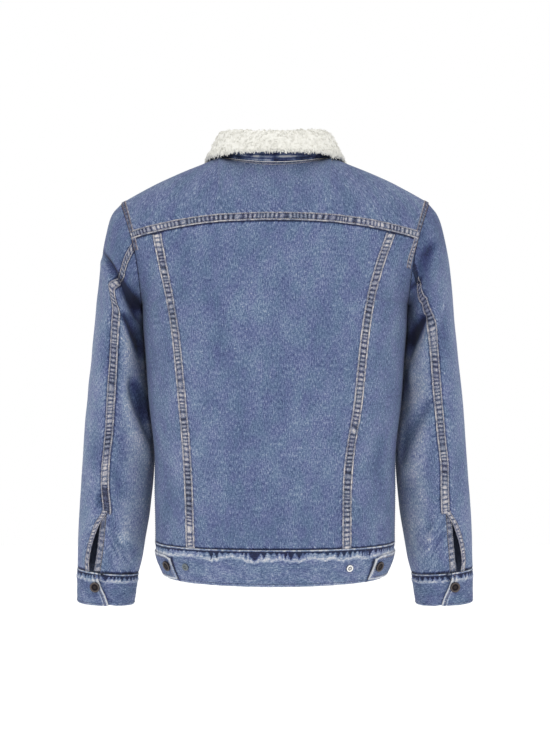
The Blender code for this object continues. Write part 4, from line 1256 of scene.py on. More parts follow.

# Lines where the cloth is paler, mostly worn whiskers; where the depth is negative, painted shade along
# creases with painted light on the ridge beside them
SLEEVE_WEAR_AND_SHADE_LINES = {
    "left": (
        (0.2760, -0.1120, 0.2370, -0.1690, 0.2040, -0.2170, 0.0050, -0.95, 0.25, 1),
        (0.2353, -0.2156, 0.2200, -0.2500, 0.2010, -0.2880, 0.0058, -0.70, 0.30, 1),
        (0.2170, -0.3200, 0.2070, -0.3480, 0.1940, -0.3840, 0.0060, -0.72, 0.30, 1),
        (0.2592, -0.5576, 0.2478, -0.5836, 0.2341, -0.6110, 0.0018, 0.45, 0.9, 0),
        (0.2570, -0.5470, 0.2387, -0.5714, 0.2204, -0.6049, 0.0017, 0.40, -0.9, 0),
        (0.2600, -0.5700, 0.2540, -0.5880, 0.2450, -0.6100, 0.0014, 0.35, 0.9, 0),
        (0.2450, -0.5080, 0.2380, -0.5150, 0.2260, -0.5230, 0.0022, 0.25, 0.6, 0),
        (0.2360, -0.4300, 0.2270, -0.4400, 0.2180, -0.4560, 0.0022, 0.22, 0.6, 0),
        (0.2519, -0.2300, 0.2509, -0.2450, 0.2501, -0.2640, 0.0019, 0.55, 0.4, 0),
        (0.2700, -0.4960, 0.2700, -0.5120, 0.2690, -0.5300, 0.0070, -0.55, 0.1, 0),
    ),
    "right": (
        (0.2480, -0.1140, 0.2330, -0.1300, 0.2150, -0.1460, 0.0070, -0.30, 0.30, 0),
        (0.2260, -0.1680, 0.2140, -0.1790, 0.2000, -0.1900, 0.0036, -0.60, 0.25, 1),
        (0.2260, -0.2270, 0.2130, -0.2530, 0.1950, -0.2850, 0.0066, -0.95, 0.30, 1),
        (0.2080, -0.3080, 0.2020, -0.3300, 0.1950, -0.3560, 0.0054, -0.60, 0.30, 1),
        (0.2371, -0.5775, 0.2480, -0.5660, 0.2585, -0.5541, 0.0017, 0.45, 0.9, 0),
        (0.2371, -0.6020, 0.2500, -0.5880, 0.2615, -0.5714, 0.0016, 0.40, -0.9, 0),
        (0.2300, -0.5930, 0.2360, -0.5900, 0.2450, -0.5800, 0.0015, 0.30, 0.9, 0),
        (0.2570, -0.2080, 0.2560, -0.2150, 0.2530, -0.2280, 0.0018, 0.45, 0.5, 0),
        (0.2130, -0.4600, 0.2230, -0.4520, 0.2330, -0.4400, 0.0026, 0.22, 0.6, 0),
    ),
}
BODY_WEAR_AND_SHADE_LINES = (
    (0.1180, -0.2350, 0.1250, -0.2560, 0.1327, -0.2764, 0.0016, -0.40, -0.6, 0),
    (0.0520, -0.0760, 0.0420, -0.0860, 0.0330, -0.0980, 0.0016, 0.30, 0.9, 0),
    (-0.0100, -0.0780, -0.0180, -0.0860, -0.0260, -0.0930, 0.0015, 0.30, 0.9, 0),
)


def body_shade(u, v, point):
    """Painted shade on the body beside the sleeves, worn pale lines and painted crease shade."""
    shade_beside_sleeves = smooth(0.90, 1.0, np.abs(np.sin(u))) * smooth(1.1, 0.9, v) * smooth(0.10, 0.25, v)
    return folds(point[..., 0], point[..., 2], BODY_WEAR_AND_SHADE_LINES) - 0.22 * shade_beside_sleeves


def make_back():
    """Centre and side panels of the back, and the yoke."""
    v = np.concatenate([rows_between(0.001, 0.9985, CLOTH_STEP / BACK_LENGTH), [YOKE_LINE + 0.001]])
    left, right = seam_line("left", v), seam_line("right", v)
    gap, half = 0.0012, HALF_BACK_SEAM - 0.0012
    panel("cloth_back_side_left", BACK, full(v, -QUARTER), left - gap, v, 1,
          (("right", half, 1), ("top", 0.001, 1), ("bottom", 0, 0.9)), "back_side_left", body_shade, True)
    panel("cloth_back_centre", BACK, left + gap, right - gap, v, 2,
          (("left", half, 0.6), ("right", half, 0.6), ("top", 0.001, 1), ("bottom", 0, 0.9)),
          "back_centre", None, True)
    panel("cloth_back_side_right", BACK, right + gap, full(v, QUARTER), v, 3,
          (("left", half, 1), ("top", 0.001, 1), ("bottom", 0, 0.9)), "back_side_right", body_shade, True)
    v = rows_between(YOKE_LINE + 0.002, 1.999, CLOTH_STEP / YOKE_LENGTH)
    panel("cloth_back_yoke", BACK, full(v, -QUARTER), full(v, QUARTER), v, 4,
          (("bottom", YOKE_SEAM_REACH, 0), ("left", 0.009, 0), ("right", 0.009, 0), ("top", 0.003, 0)),
          "back_yoke")


def make_back_seams():
    """Lapped seams of the back, with their stitches and worn rungs."""
    v = rows_between(0.0, 0.998, 0.01)
    for side, outwards, seed in (("left", -1, 101), ("right", 1, 111)):
        line = seam_line(side, v)
        near = BACK.beside(line, v, -outwards * HALF_BACK_SEAM)
        far = BACK.beside(line, v, outwards * HALF_BACK_SEAM)
        strip(f"seam_back_{side}", on_skin(BACK, (near, v), (far, v)), seed, zoned=BACK_ZONES[side])
    turns = np.linspace(-QUARTER * 0.985, QUARTER * 0.985, 120)
    near = BACK.above(turns, full(turns, YOKE_LINE), YOKE_SEAM_REACH)
    strip("seam_yoke", on_skin(BACK, (turns, near), (turns, full(turns, YOKE_LINE))), 121, zoned=YOKE_ZONES)
    turns = np.linspace(-0.345, 0.345, 120)
    ends = Skin(lambda u, v: BACK.base(u, v) + np.array((0, 0, COLLAR_GAP * 0.6)), no_relief,
                HALF_ROUND, (0, 2))
    strip("seam_neck_back", across_skins(BACK, (turns, full(turns, 1.972)), ends, (turns, full(turns, 2))),
          127, scale=0.55, thread=None, worn=0.4)
    stitch_row(*on_skin(BACK, (turns, full(turns, 1.970)), (turns, full(turns, 1.970)))(
        np.linspace(0, 1, 160), np.zeros(160)))


ARMHOLE_SEAM_REACH = 0.0092

# Armhole bands run down to these values of v, leaning in by this much at the end
ARMHOLE_BANDS = {
    (True, "left"): (0.965, 0.000), (True, "right"): (0.905, 0.005),
    (False, "left"): (0.86, 0.000), (False, "right"): (0.86, 0.000),
}


def make_armhole_seams():
    """Double-stitched armhole seams, lying on the body side."""
    for (back, side), (end, lean) in ARMHOLE_BANDS.items():
        skin = BACK if back else FRONT
        v = np.concatenate([np.linspace(end, 1, 24)[:-1], np.linspace(1, 1.985, 60)])
        sign = (-1 if back else 1) * (1 if side == "left" else -1)
        u = full(v, sign * QUARTER)
        shift = lean * smooth(1.0, end, v)
        far = skin.beside(u, v, -sign * np.maximum(shift, 1e-6))
        near = skin.beside(u, v, -sign * (1.3 * shift + ARMHOLE_SEAM_REACH))
        name = f"seam_armhole_{'back' if back else 'front'}_{side}"
        strip(name, on_skin(skin, (near, v), (far, v)), 131 + 3 * back + (side == "left"),
              thread="copper", worn=0.75, scale=0.85, zoned=ARMHOLE_ZONES.get((back, side)))


# Stitch rows of the button band, from its edges
PLACKET_ROWS = (0.0045, 0.0105)


def make_fronts():
    """Left and right fronts, the button band and its stitches."""
    v = rows_between(0.001, 1.999, CLOTH_STEP / FRONT_LENGTH)
    inner = 0.0006

    def turn_at(x, v):
        share = x / edge(body_level(v, False), False)[..., 0]
        for _ in range(5):
            share = share * x / FRONT.base(np.arcsin(share), v)[..., 0]
        return np.arcsin(share)

    left_edge = turn_at(full(v, PLACKET_HALF_WIDTH + inner), v)
    panel("cloth_front_left", FRONT, left_edge, full(v, QUARTER), v, 5,
          (("left", 0, 1), ("bottom", 0, 0.9), ("right", 0.009, 0)), "front_left", body_shade, True)
    right_edge = turn_at(full(v, -UNDERLAP_EDGE), v)

    def lapped(u, w):
        base = FRONT.base(u, w)
        past = base[..., 0] + PLACKET_HALF_WIDTH + UNDERLAP_RAMP + 0.001
        sunk = -(UNDERLAP_DEPTH * np.clip(past / UNDERLAP_RAMP, 0, 1))
        return base + FRONT.differ(FRONT.base, u, w) * sunk[..., None]

    panel("cloth_front_right", Skin(lapped, FRONT.relief, HALF_ROUND, (0, 2)), full(v, -QUARTER),
          right_edge, v, 6, (("bottom", 0, 0.9), ("left", 0.009, 0)), "front_right", body_shade, True)

    across = np.linspace(-PLACKET_HALF_WIDTH, PLACKET_HALF_WIDTH, 17)
    rows = rows_between(0.001, 1.994, 0.0024 / FRONT_LENGTH)
    turns = np.stack([turn_at(full(rows, x if abs(x) > 1e-4 else 1e-4), rows) for x in across], axis=1)
    edge_in = np.minimum(across + PLACKET_HALF_WIDTH, PLACKET_HALF_WIDTH - across)
    seat = hill(edge_in, PLACKET_ROWS[0], 0.0011) + hill(edge_in, PLACKET_ROWS[1], 0.0011)
    along = rows[:, None] * FRONT_LENGTH
    rumple = noise(along / 0.011, across[None] / 0.02, 81)
    lift = (PLACKET_PROUD + 0.0003 * rumple - 0.00035 * seat[None]
            - 0.0005 * smooth(0.0012, 0, edge_in)[None])
    points = FRONT(turns, rows[:, None], lift)
    wear = (0.5 * smooth(0.0022, 0.0006, edge_in)[None] - 0.22 * seat[None]
            + 0.30 * rumple * smooth(0.012, 0.003, edge_in)[None])
    fields = {"cloth": cloth_places(points, 7), "wear": np.broadcast_to(wear, points.shape[:2])}
    piece = shell("cloth_front_placket", points, FRONT.normals(turns, rows[:, None]), PLACKET_CLOTH,
                  "denim", fields)
    sheet("front_placket", points)
    for row in PLACKET_ROWS:
        for x in (-PLACKET_HALF_WIDTH + row, PLACKET_HALF_WIDTH - row):
            turn = turn_at(full(rows, x), rows)
            stitch_row(FRONT(turn, rows, PLACKET_PROUD - 0.0001), FRONT.normals(turn, rows))


def make_shoulder_seams():
    """Plain lapped seams along the shoulders and down the sides."""
    for side, sign in (("left", -1), ("right", 1)):
        neck_turn = np.arcsin(NECK_HALF_WIDTH / SHOULDER_TIP[0])
        turns = sign * np.linspace(neck_turn + 0.02, QUARTER * 0.93, 60)
        near, far = (turns, full(turns, 1.955)), (-turns, full(turns, 1.982))
        strip(f"seam_shoulder_{side}", across_skins(BACK, near, FRONT, far), 151 + sign, worn=0.6,
              scale=0.8)
        v = rows_between(0.0, 0.73, 0.01)
        ahead = front_v(body_level(v, True))
        near = (BACK.beside(full(v, sign * QUARTER), v, -sign * 0.0080), v)
        far = (FRONT.beside(full(v, -sign * QUARTER), ahead, sign * 0.0034), ahead)
        strip(f"seam_side_{side}", across_skins(BACK, near, FRONT, far), 161 + sign, thread="indigo",
              worn=0.2, scale=0.6)


def sleeve_seam(side, ring):
    return np.radians(SLEEVE_SEAMS.at(ring, side))


def vent_turn(ring):
    opening = np.where(ring < VENT.keys[0], 0.0, VENT.at(ring, "opening"))
    return opening / SLEEVE.at(ring, "half_depth")


HALF_SLEEVE_SEAM = 0.0074
SLEEVE_SEAM_RINGS = {"left": (0.12, 9.22), "right": (0.9, 9.22)}

# How worn each seam is along its length: 1 is pale, -1 unfaded
SLEEVE_ZONES = {
    "left": ((0, 0.2), (0.10, 0.0), (0.15, 0.8), (0.21, 0.3), (0.30, -0.2), (0.36, 0.4), (0.42, 0.0),
             (0.50, -0.3), (0.58, 0.4), (0.66, 0.6), (0.72, -0.6), (0.78, 0.4), (0.82, 1.1), (0.89, 1.1),
             (0.905, -1.6), (1, -1.5)),
    "right": ((0, -0.5), (0.18, -0.5), (0.23, 0.9), (0.30, 0.6), (0.36, -0.3), (0.45, 0.3), (0.60, 0.1),
              (0.70, -0.2), (0.75, 0.5), (0.82, -0.5), (0.88, 0.9), (1, 0.9)),
}
BACK_ZONES = {
    "left": ((0, 0.6), (0.07, 0.7), (0.12, -0.3), (0.24, -0.4), (0.30, 0.6), (0.40, 0.0), (0.50, 0.4),
             (0.60, 0.2), (0.68, 0.5), (0.74, -0.4), (0.77, 0.5), (0.80, 0.1), (0.88, -0.1), (0.93, -0.6),
             (0.955, 0.9), (1, 1.0)),
    "right": ((0, 0.8), (0.08, 0.2), (0.25, -0.3), (0.40, 0.2), (0.50, 0.4), (0.65, 0.0), (0.75, -0.4),
              (0.85, 0.2), (0.94, 0.4), (1, 0.8)),
}
YOKE_ZONES = ((0, 0.4), (0.06, -0.2), (0.11, 0.9), (0.16, 0.0), (0.30, -0.3), (0.45, -0.1), (0.60, -0.2),
              (0.72, 0.0), (0.84, 0.9), (0.90, -0.1), (1, 1.0))
VENT_ZONES = ((0, 0.8), (1, 0.8))
ARMHOLE_ZONES = {
    (True, "right"): ((0, 0.5), (0.30, 0.5), (0.37, -0.5), (1, -0.8)),
    (True, "left"): ((0, -0.7), (1, -0.8)),
}


# Middle of the worn strokes beside each vent, and how much paler the shoulder and the outer
# side of each sleeve are
WHISKERS = {"left": (0.2380, -0.5900), "right": (0.2430, -0.5750)}
SHOULDER_TONE = {"left": -0.09, "right": -0.17}
OUTER_TONE = {"left": 0.20, "right": 0.12}


def sleeve_shade(side):
    """Painted shade towards the body, painted light on the under sleeve's back, paler cloth on the outer
    side, worn whiskers, and the worn and shaded lines.
    """
    def shade(u, v, point):
        x, z = point[..., 0], point[..., 2]
        inwards = -np.cos(u)
        # Painted shade where the sleeve turns towards the body
        shade_near_body = smooth(0.55, 0.98, inwards) * smooth(0.4, 2.0, v) * smooth(9.2, 7.2, v)
        away = smooth(-0.1, 0.8, -inwards) * smooth(2.0, 5.0, v)
        facing = smooth(0, 0.2, np.sin(u))
        across, along = 0.905 * x - 0.425 * z, -0.425 * x - 0.905 * z
        centre_x, centre_z = WHISKERS[side]
        near_vent = hill(x, centre_x, 0.020) * hill(z, centre_z, 0.034)
        whiskers = noise(across / 0.0030, along / 0.016, 321) * near_vent
        wear_and_shade_lines = folds(x, z, SLEEVE_WEAR_AND_SHADE_LINES[side])
        # Painted light on the under sleeve's back, towards the body
        under = smooth(0.10, 0.45, inwards) * smooth(4.4, 6.2, v) * smooth(11.6, 9.2, v) * facing
        return (facing * (wear_and_shade_lines + 0.55 * whiskers) - 0.10 * shade_near_body + OUTER_TONE[side] * away
                + 0.35 * under + SHOULDER_TONE[side] * smooth(3.6, 1.6, v))
    return shade


def make_sleeves():
    """Upper and under sleeves with their lapped seams, vents and facings."""
    fine = np.linspace(0, 11, 400)
    down = lengths(tube(SLEEVE, fine, 0.0))
    rings = np.interp(np.arange(0.0004, down[-1] - 0.0004, CLOTH_STEP), down, fine)[::-1]
    for number, side in enumerate(("left", "right")):
        skin = SLEEVES[side]
        back = sleeve_seam(side, rings)
        front = np.radians(SLEEVE.at(rings, "front_seam"))
        half = HALF_SLEEVE_SEAM
        panel(f"cloth_sleeve_upper_{side}", skin, front, back - vent_turn(rings), rings, 8 + number,
              (("right", half, 0.6), ("bottom", 0, 0.9), ("left", half, 0), ("top", 0, 0.8)),
              f"sleeve_upper_{side}", sleeve_shade(side), True)
        lapped = (rings < VENT.keys[0])[:, None]
        panel(f"cloth_sleeve_under_{side}", skin, back, front + 2 * PI, rings, 10 + number,
              (("left", half * lapped, 0.7 * lapped), ("bottom", 0, 0.9), ("right", half, 0),
               ("top", 0, 0.8)), f"sleeve_under_{side}", sleeve_shade(side), True)
        down = np.linspace(*SLEEVE_SEAM_RINGS[side], 200)
        line = sleeve_seam(side, down)
        near, far = skin.beside(line, down, -half), skin.beside(line, down, half)
        strip(f"seam_sleeve_{side}", on_skin(skin, (near, down), (far, down)), 171 + 9 * number,
              worn=0.9, zoned=SLEEVE_ZONES[side], wear_and_shade_lines=SLEEVE_WEAR_AND_SHADE_LINES[side][:3])
        down = np.linspace(9.16, 10.99, 60)
        line = sleeve_seam(side, down) - vent_turn(down)
        near, far = skin.beside(line, down, -0.0085), skin.beside(line, down, 0.0008)
        strip(f"seam_vent_{side}", on_skin(skin, (near, down), (far, down)), 191 + 9 * number, scale=1.1,
              zoned=VENT_ZONES)
        down = np.linspace(0.5, 10.98, 200)
        line = np.radians(SLEEVE.at(down, "front_seam"))
        near, far = skin.beside(line, down, 0.0058), skin.beside(line, down, -0.0058)
        strip(f"seam_sleeve_front_{side}", on_skin(skin, (near, down), (far, down)), 211 + 9 * number,
              worn=0.7, scale=0.7)
        make_facing(side, skin, number)


def make_facing(side, skin, number):
    """Strip that faces the inside of a vent, below the flap's level."""
    down = np.linspace(9.24, 10.97, 80)[::-1]
    line = sleeve_seam(side, down)
    reach = FACING_WIDTH / SLEEVE.at(down, "half_depth")
    across = np.linspace(0, 1, 9)
    turns = line[:, None] - reach[:, None] * (1 - across[None])
    rung = ladder(lengths(skin(line, down))[:, None], across[None], 231 + number, 0.2, FACING_PITCH)[1]
    seat = hill(np.minimum(across, 1 - across), 0.12, 0.07)[None]
    lift = -0.0018 + 0.0004 * rung * (1 - seat) - 0.0003 * seat + 0 * turns
    points = skin(turns, down[:, None], lift)
    wear = 0.08 + 0.45 * rung * (1 - seat) - 0.25 * seat + 0 * turns
    fields = {"cloth": cloth_places(points, 12 + number), "wear": wear}
    piece = shell(f"cloth_vent_facing_{side}", points, skin.normals(turns, down[:, None]),
                  FACING_CLOTH, "seam", fields)
    sheet(f"sleeve_vent_facing_{side}", points)
    normals = skin.normals(line, down)
    for share in (0.14, 0.86):
        turn = line - reach * (1 - share)
        stitch_row(skin(turn, down, full(down, -0.0019)), normals)


def make_waistband():
    """Waistband with its puckers, lapped at the front."""
    half_width = WAISTBAND.at(HEM_HEIGHT, "half_width")
    lap = np.arcsin(PLACKET_HALF_WIDTH / half_width)
    ramp = np.arcsin((PLACKET_HALF_WIDTH + UNDERLAP_RAMP) / half_width)
    under = np.arcsin(UNDERLAP_EDGE / half_width)
    levels = rows_between(HEM_HEIGHT + 0.0002, WAISTBAND_TOP - 0.0007, BAND_STEP)
    turns = BAND.columns(full(levels[:1], -PI - lap), full(levels[:1], PI + under), levels[-1:], 740)[0]
    depth = (BAND_CLOTH + LAYER_GAP) * smooth(PI - ramp, PI - lap - 0.01, turns)
    hem_roll = 0.0012 * smooth(0.0045, 0, levels - HEM_HEIGHT) ** 2
    points = BAND(turns[None], levels[:, None], -depth[None] - hem_roll[:, None])
    wear = waistband_look(turns[None], levels[:, None])[1]
    wear = wear + 0.28 * smooth(0.0035, 0.001, levels - HEM_HEIGHT)[:, None]
    for side, sign in (("left", -1), ("right", 1)):
        past = (sign * turns - np.radians(TAB_ENDS[side])) * BAND_AROUND
        # Painted shadow on the waistband just past each tab's end
        beside = hill(past, -0.0026, 0.0030)[None] * smooth(TAB_TOP, TAB_TOP - 0.006, levels)[:, None]
        wear = wear - 1.1 * beside
    end = np.minimum(turns + PI + lap, PI + under - turns)[None] * half_width
    wear = wear + 0.4 * smooth(0.0022, 0.0008, end)
    fields = {"cloth": cloth_places(points, 14, True), "wear": wear}
    piece = shell("cloth_waistband", points, BAND.normals(turns[None], levels[:, None]), BAND_CLOTH,
                  "band", fields)
    sheet("waistband", points)
    row = np.linspace(-PI - lap + 0.02, PI - lap - 0.05, 700)
    for height in (WAISTBAND_TOP - 0.0032, HEM_HEIGHT + 0.0045):
        level = full(row, height)
        stitch_row(BAND(row, level, full(row, 0.0001)), BAND.normals(row, level), "indigo")


def make_tabs():
    """Side tabs that lie on the waistband, with their stitches."""
    for number, (side, end_turn) in enumerate(TAB_ENDS.items()):
        sign = -1 if side == "left" else 1
        shares = np.linspace(0, 1, 56)
        span = np.radians(TAB_START - end_turn)
        rise = np.linspace(0, 1, 19)
        corner = smooth(0.16, 0.0, shares)
        low = TAB_BOTTOM + 0.001 * corner
        high = TAB_TOP - 0.0045 * corner ** 2
        levels = low[None] + (high - low)[None] * rise[:, None]
        slant = 0.020 * (1 - rise[:, None]) * (1 - shares[None])
        turns = sign * (np.radians(end_turn) + span * shares[None] - slant)
        edge_in = np.minimum(np.minimum(levels - low[None], high[None] - levels),
                             shares[None] * span * TAB_AROUND) + 0 * levels
        seat = hill(edge_in, TAB_STITCH_IN, 0.0010)
        rumple = noise(shares[None] * span * TAB_AROUND / 0.008, levels / 0.008, 241 + number)
        lift = (TAB_GAP + TAB_CLOTH + 0.0004 * rumple - 0.0004 * seat
                - 0.0007 * smooth(0.0013, 0, edge_in))
        points = BAND_FLAT(turns, levels, lift)
        wear = (1.0 * smooth(0.0048, 0.0024, edge_in) - 0.45 * seat
                + 0.45 * rumple * smooth(0.009, 0.002, edge_in))
        fields = {"cloth": cloth_places(points, 15 + number, True), "wear": wear - 0.04}
        piece = shell(f"cloth_waist_tab_{side}", points, BAND_FLAT.normals(turns, levels), TAB_CLOTH,
                      "denim", fields)
        sheet(f"waist_tab_{side}", points)
        out = TAB_GAP + TAB_CLOTH
        row = np.linspace(0.07, 1, 90)
        side_turn = sign * (np.radians(end_turn) + span * row)
        end_level = np.linspace(TAB_BOTTOM + TAB_STITCH_IN, TAB_TOP - 0.007, 30)
        end_row = full(end_level, sign * (np.radians(end_turn) + TAB_STITCH_IN / TAB_AROUND))
        for turn, level in ((side_turn, full(row, TAB_BOTTOM + TAB_STITCH_IN)),
                            (side_turn, np.interp(row, shares, high) - TAB_STITCH_IN),
                            (end_row, end_level)):
            stitch_row(BAND_FLAT(turn, level, out - 0.0002), BAND_FLAT.normals(turn, level))


def cuff_edge(ring):
    """Turn of the cuff's lapped edge, in degrees."""
    return CUFF_EDGE_TOP + (CUFF_EDGE_BOTTOM - CUFF_EDGE_TOP) * smooth(0.0, 2.2, ring) * 1.05


def make_cuffs():
    """Cuffs with puckers under their top edge and a lapped end."""
    for number, side in enumerate(("left", "right")):
        skin = CUFFS[side]
        rings = np.linspace(0.01, 1.99, 34)[::-1]
        edge_turn = cuff_edge(rings)
        share = np.linspace(0, 1, 178)
        turns = np.radians(CUFF_HIDDEN_END + (360 + edge_turn[:, None] - CUFF_HIDDEN_END) * share[None])
        past = np.degrees(turns) - edge_turn[:, None]
        depth = (BAND_CLOTH + LAYER_GAP) * smooth(20, 5, past)
        above_hem = (2 - rings[:, None]) * CUFF_RING
        lift = -depth - 0.0010 * smooth(0.004, 0, above_hem) ** 2
        points = skin(turns, rings[:, None], lift)
        wear = cuff_look(turns, rings[:, None], CUFF_SEEDS[side])[1]
        from_edge = 360 - past
        wear = wear + 0.30 * smooth(0.0035, 0.0008, above_hem) + 1.0 * smooth(4.2, 2.6, from_edge) - 0.05
        wear = wear + 0.8 * hill(from_edge, 9.5, 1.6) - 0.45 * hill(from_edge, 6.4, 1.6)
        # Painted shadow beside the cuff's lapped end
        wear = wear - 0.6 * hill(past, -2.0, 3.0)
        fields = {"cloth": cloth_places(points, 17 + number, True), "wear": wear}
        piece = shell(f"cloth_cuff_{side}", points, skin.normals(turns, rings[:, None]), BAND_CLOTH,
                      "denim", fields)
        sheet(f"cuff_{side}", points)
        for ring in (0.115, 1.86):
            end = cuff_edge(ring)
            turn = np.radians(np.linspace(end + 20, 360 + end - 5, 240))
            row = full(turn, ring)
            stitch_row(skin(turn, row, full(turn, 0.0001)), skin.normals(turn, row), "indigo")
        ring = np.linspace(0.12, 1.84, 40)
        turn = np.radians(360 + cuff_edge(ring) - 5.5)
        stitch_row(skin(turn, ring, full(ring, 0.0001)), skin.normals(turn, ring))


# ---------------------------------------------------------------- collar

def collar_grid(turns, alongs, lift=0.0):
    """Points of the collar moved towards its pile side, with their normals."""
    u, v = np.broadcast_arrays(turns[None, :], alongs[:, None])
    points = collar(u, v)
    across = collar(u + 0.01, v) - collar(u - 0.01, v)
    up = collar(u, np.minimum(v + 0.03, 6)) - collar(u, np.maximum(v - 0.03, 0))
    normals = unit(np.cross(across, up))
    return points + normals * np.broadcast_to(lift, u.shape)[..., None], normals


def make_collar():
    """Under collar of dark denim, upper collar of sherpa with its curls."""
    end = np.radians(COLLAR_END)
    turns = np.linspace(-end, end, 210)
    alongs = np.concatenate([np.linspace(0, 0.9, 22)[:-1], np.linspace(0.9, 6, 36)])
    points, normals = collar_grid(turns, alongs, -DENIM)
    stand = smooth(3.0, 2.2, alongs)[:, None]
    streak = noise(turns[None] * 0.08 / 0.009, alongs[:, None] / 0.5, 251)
    stripes = (hill(alongs, 0.36, 0.09) + 0.7 * hill(alongs, 0.10, 0.05))[:, None]
    middle = smooth(0.95, 0.55, np.abs(turns))[None]
    wear = -0.10 + stand * (-0.32 + 1.6 * middle * stripes * (0.75 + 0.6 * streak) + 0.55 * streak)
    fields = {"cloth": cloth_places(points, 19, True), "wear": wear}
    piece = shell("cloth_collar_under", points, -normals, DENIM, "dark", fields)
    sheet("collar_under", points)

    columns = int(0.60 / PILE_STEP)
    turns = np.linspace(-end, end, columns)
    alongs = np.linspace(0.12, 6, 64)
    base, normals = collar_grid(turns, alongs)
    places = cloth_places(base, 20)
    span = np.abs(places[..., 0]).max(axis=1, keepdims=True)
    from_ends = np.minimum(places[..., 1], places[-1:, :, 1] - places[..., 1]) + 0.0008
    edge_in = np.minimum(span - np.abs(places[..., 0]), from_ends)
    roundness = np.sqrt(np.clip(1 - (1 - np.clip(edge_in / 0.0055, 0, 1)) ** 2, 0.03, 1))
    knots = noise(places[..., 0] / 0.0031, places[..., 1] / 0.0031, 261)
    fine = noise(places[..., 0] / 0.0016, places[..., 1] / 0.0016, 262)
    bumps = 0.0010 * knots + 0.0006 * fine
    lift = LAYER_GAP + (SHERPA * 0.86 + bumps) * roundness
    points = base + normals * lift[..., None]
    # Painted shade in the pile, darker where its knots sink
    depth = 0.55 + 0.3 * knots + 0.2 * fine
    fields = {"cloth": places, "wear": depth}
    piece = shell("pile_collar_upper", points, normals, SHERPA * 0.80 * roundness, "sherpa", fields)
    sheet("collar_upper", points)
    random = np.random.default_rng(271)
    rows, columns = points.shape[:2]
    count = 3100
    row, column = random.uniform(0.3, rows - 1.3, count), random.uniform(0.3, columns - 1.3, count)
    make_curls("curls_collar", points, normals, row, column, random.uniform(0, 2 * PI, count),
               random.uniform(0.0035, 0.0065, count), random)
    count = 2000
    turn = np.where(np.arange(count) < 1250, random.uniform(-1, 1, count) * COLLAR_END,
                    np.where(np.arange(count) % 2, 1, -1) * random.uniform(38, 118, count))
    column = np.interp(turn, np.degrees(turns), np.arange(columns)).clip(0.3, columns - 1.4)
    row = rows - 1.2 - random.uniform(0, 3.5, count)
    beside_neck = smooth(38, 56, np.abs(turn)) * smooth(118, 96, np.abs(turn))
    length = random.uniform(0.0030, 0.0062, count) * (1 + 1.1 * beside_neck)
    make_curls("curls_collar_edge", points, normals, row, column, QUARTER + random.normal(0, 0.45, count),
               length, random)


CURL_STATIONS = 5
CURL_CORNERS = 4


def make_curls(name, points, normals, row, column, heading, length, random):
    """Curly locks of pile at places of a grid, as one mesh of small bent tubes."""
    count = len(row)
    i, j = row.astype(int), column.astype(int)
    centre = (points[i, j] + (points[i + 1, j] - points[i, j]) * (row - i)[:, None]
              + (points[i, j + 1] - points[i, j]) * (column - j)[:, None])
    normal = normals[i, j]
    across = unit(points[i, j + 1] - points[i, j])
    up = unit(np.cross(normal, across))
    bend = random.uniform(-2.6, 2.6, count)
    radius = random.uniform(0.00050, 0.00085, count)
    lift = random.uniform(0.0002, 0.0015, count)
    rings = []
    position = centre - normal * 0.0004
    for station in range(CURL_STATIONS):
        share = station / (CURL_STATIONS - 1)
        angle = heading + bend * (share - 0.5)
        forward = across * np.cos(angle)[:, None] + up * np.sin(angle)[:, None]
        side = np.cross(normal, forward)
        arch = np.sin(PI * share) * lift + 0.0003 * share
        swell = radius * (0.35 + 0.65 * np.sin(PI * min(max(share, 0.12), 0.88)))
        middle = position + normal * arch[:, None]
        for corner in range(CURL_CORNERS):
            around = corner * 2 * PI / CURL_CORNERS + 0.6
            rings.append(middle + (side * np.cos(around) + normal * np.sin(around)) * swell[:, None])
        position = position + forward * (length / (CURL_STATIONS - 1))[:, None]
    tube_points = np.stack(rings, axis=1)
    wear = np.repeat(random.uniform(0.45, 1.0, count), tube_points.shape[1])
    piece = mesh_object(name, tube_points.reshape(-1, 3), tube_faces(count, CURL_STATIONS, CURL_CORNERS),
                        {"cloth": tube_points.reshape(-1, 3), "wear": wear}, "sherpa")


def make_lining():
    """Sherpa lining of the body, lying inside the denim."""
    back_v = np.concatenate([rows_between(0.016, 1.0, LINING_STEP / BACK_LENGTH),
                             rows_between(1.02, 1.93, LINING_STEP / YOKE_LENGTH)])
    lining_v = rows_between(0.018, 1.95, LINING_STEP / LINING_LENGTH)
    neck_turn = 0.985 * QUARTER
    for name, skin, v, first, last, seed in (
            ("lining_back", BACK, back_v, -neck_turn, neck_turn, 281),
            ("lining_front_left", FRONT, lining_v, 0.115, neck_turn, 291),
            ("lining_front_right", FRONT, lining_v, -neck_turn, -0.19, 301)):
        base = skin.flat()
        count = int(base.width(first, last, v) / LINING_STEP)
        u = base.columns(full(v, first), full(v, last), v, count)
        sunk = np.minimum(skin.relief(u, v[:, None], base.base(u, v[:, None])), 0)
        points = base(u, v[:, None], -LINING_INSET - 0.0004 + sunk)
        places = cloth_places(points, seed)
        knots = noise(places[..., 0] / 0.011, places[..., 1] / 0.011, seed)
        # Painted shade in the pile, darker where its knots sink
        fields = {"cloth": places, "wear": 0.6 + 0.3 * knots}
        piece = shell(f"pile_{name}", points, base.normals(u, v[:, None]), LINING + 0.0011 * knots,
                      "sherpa", fields, every=1)
        sheet(name, points)


# --------------------------------------------------------------- buttons

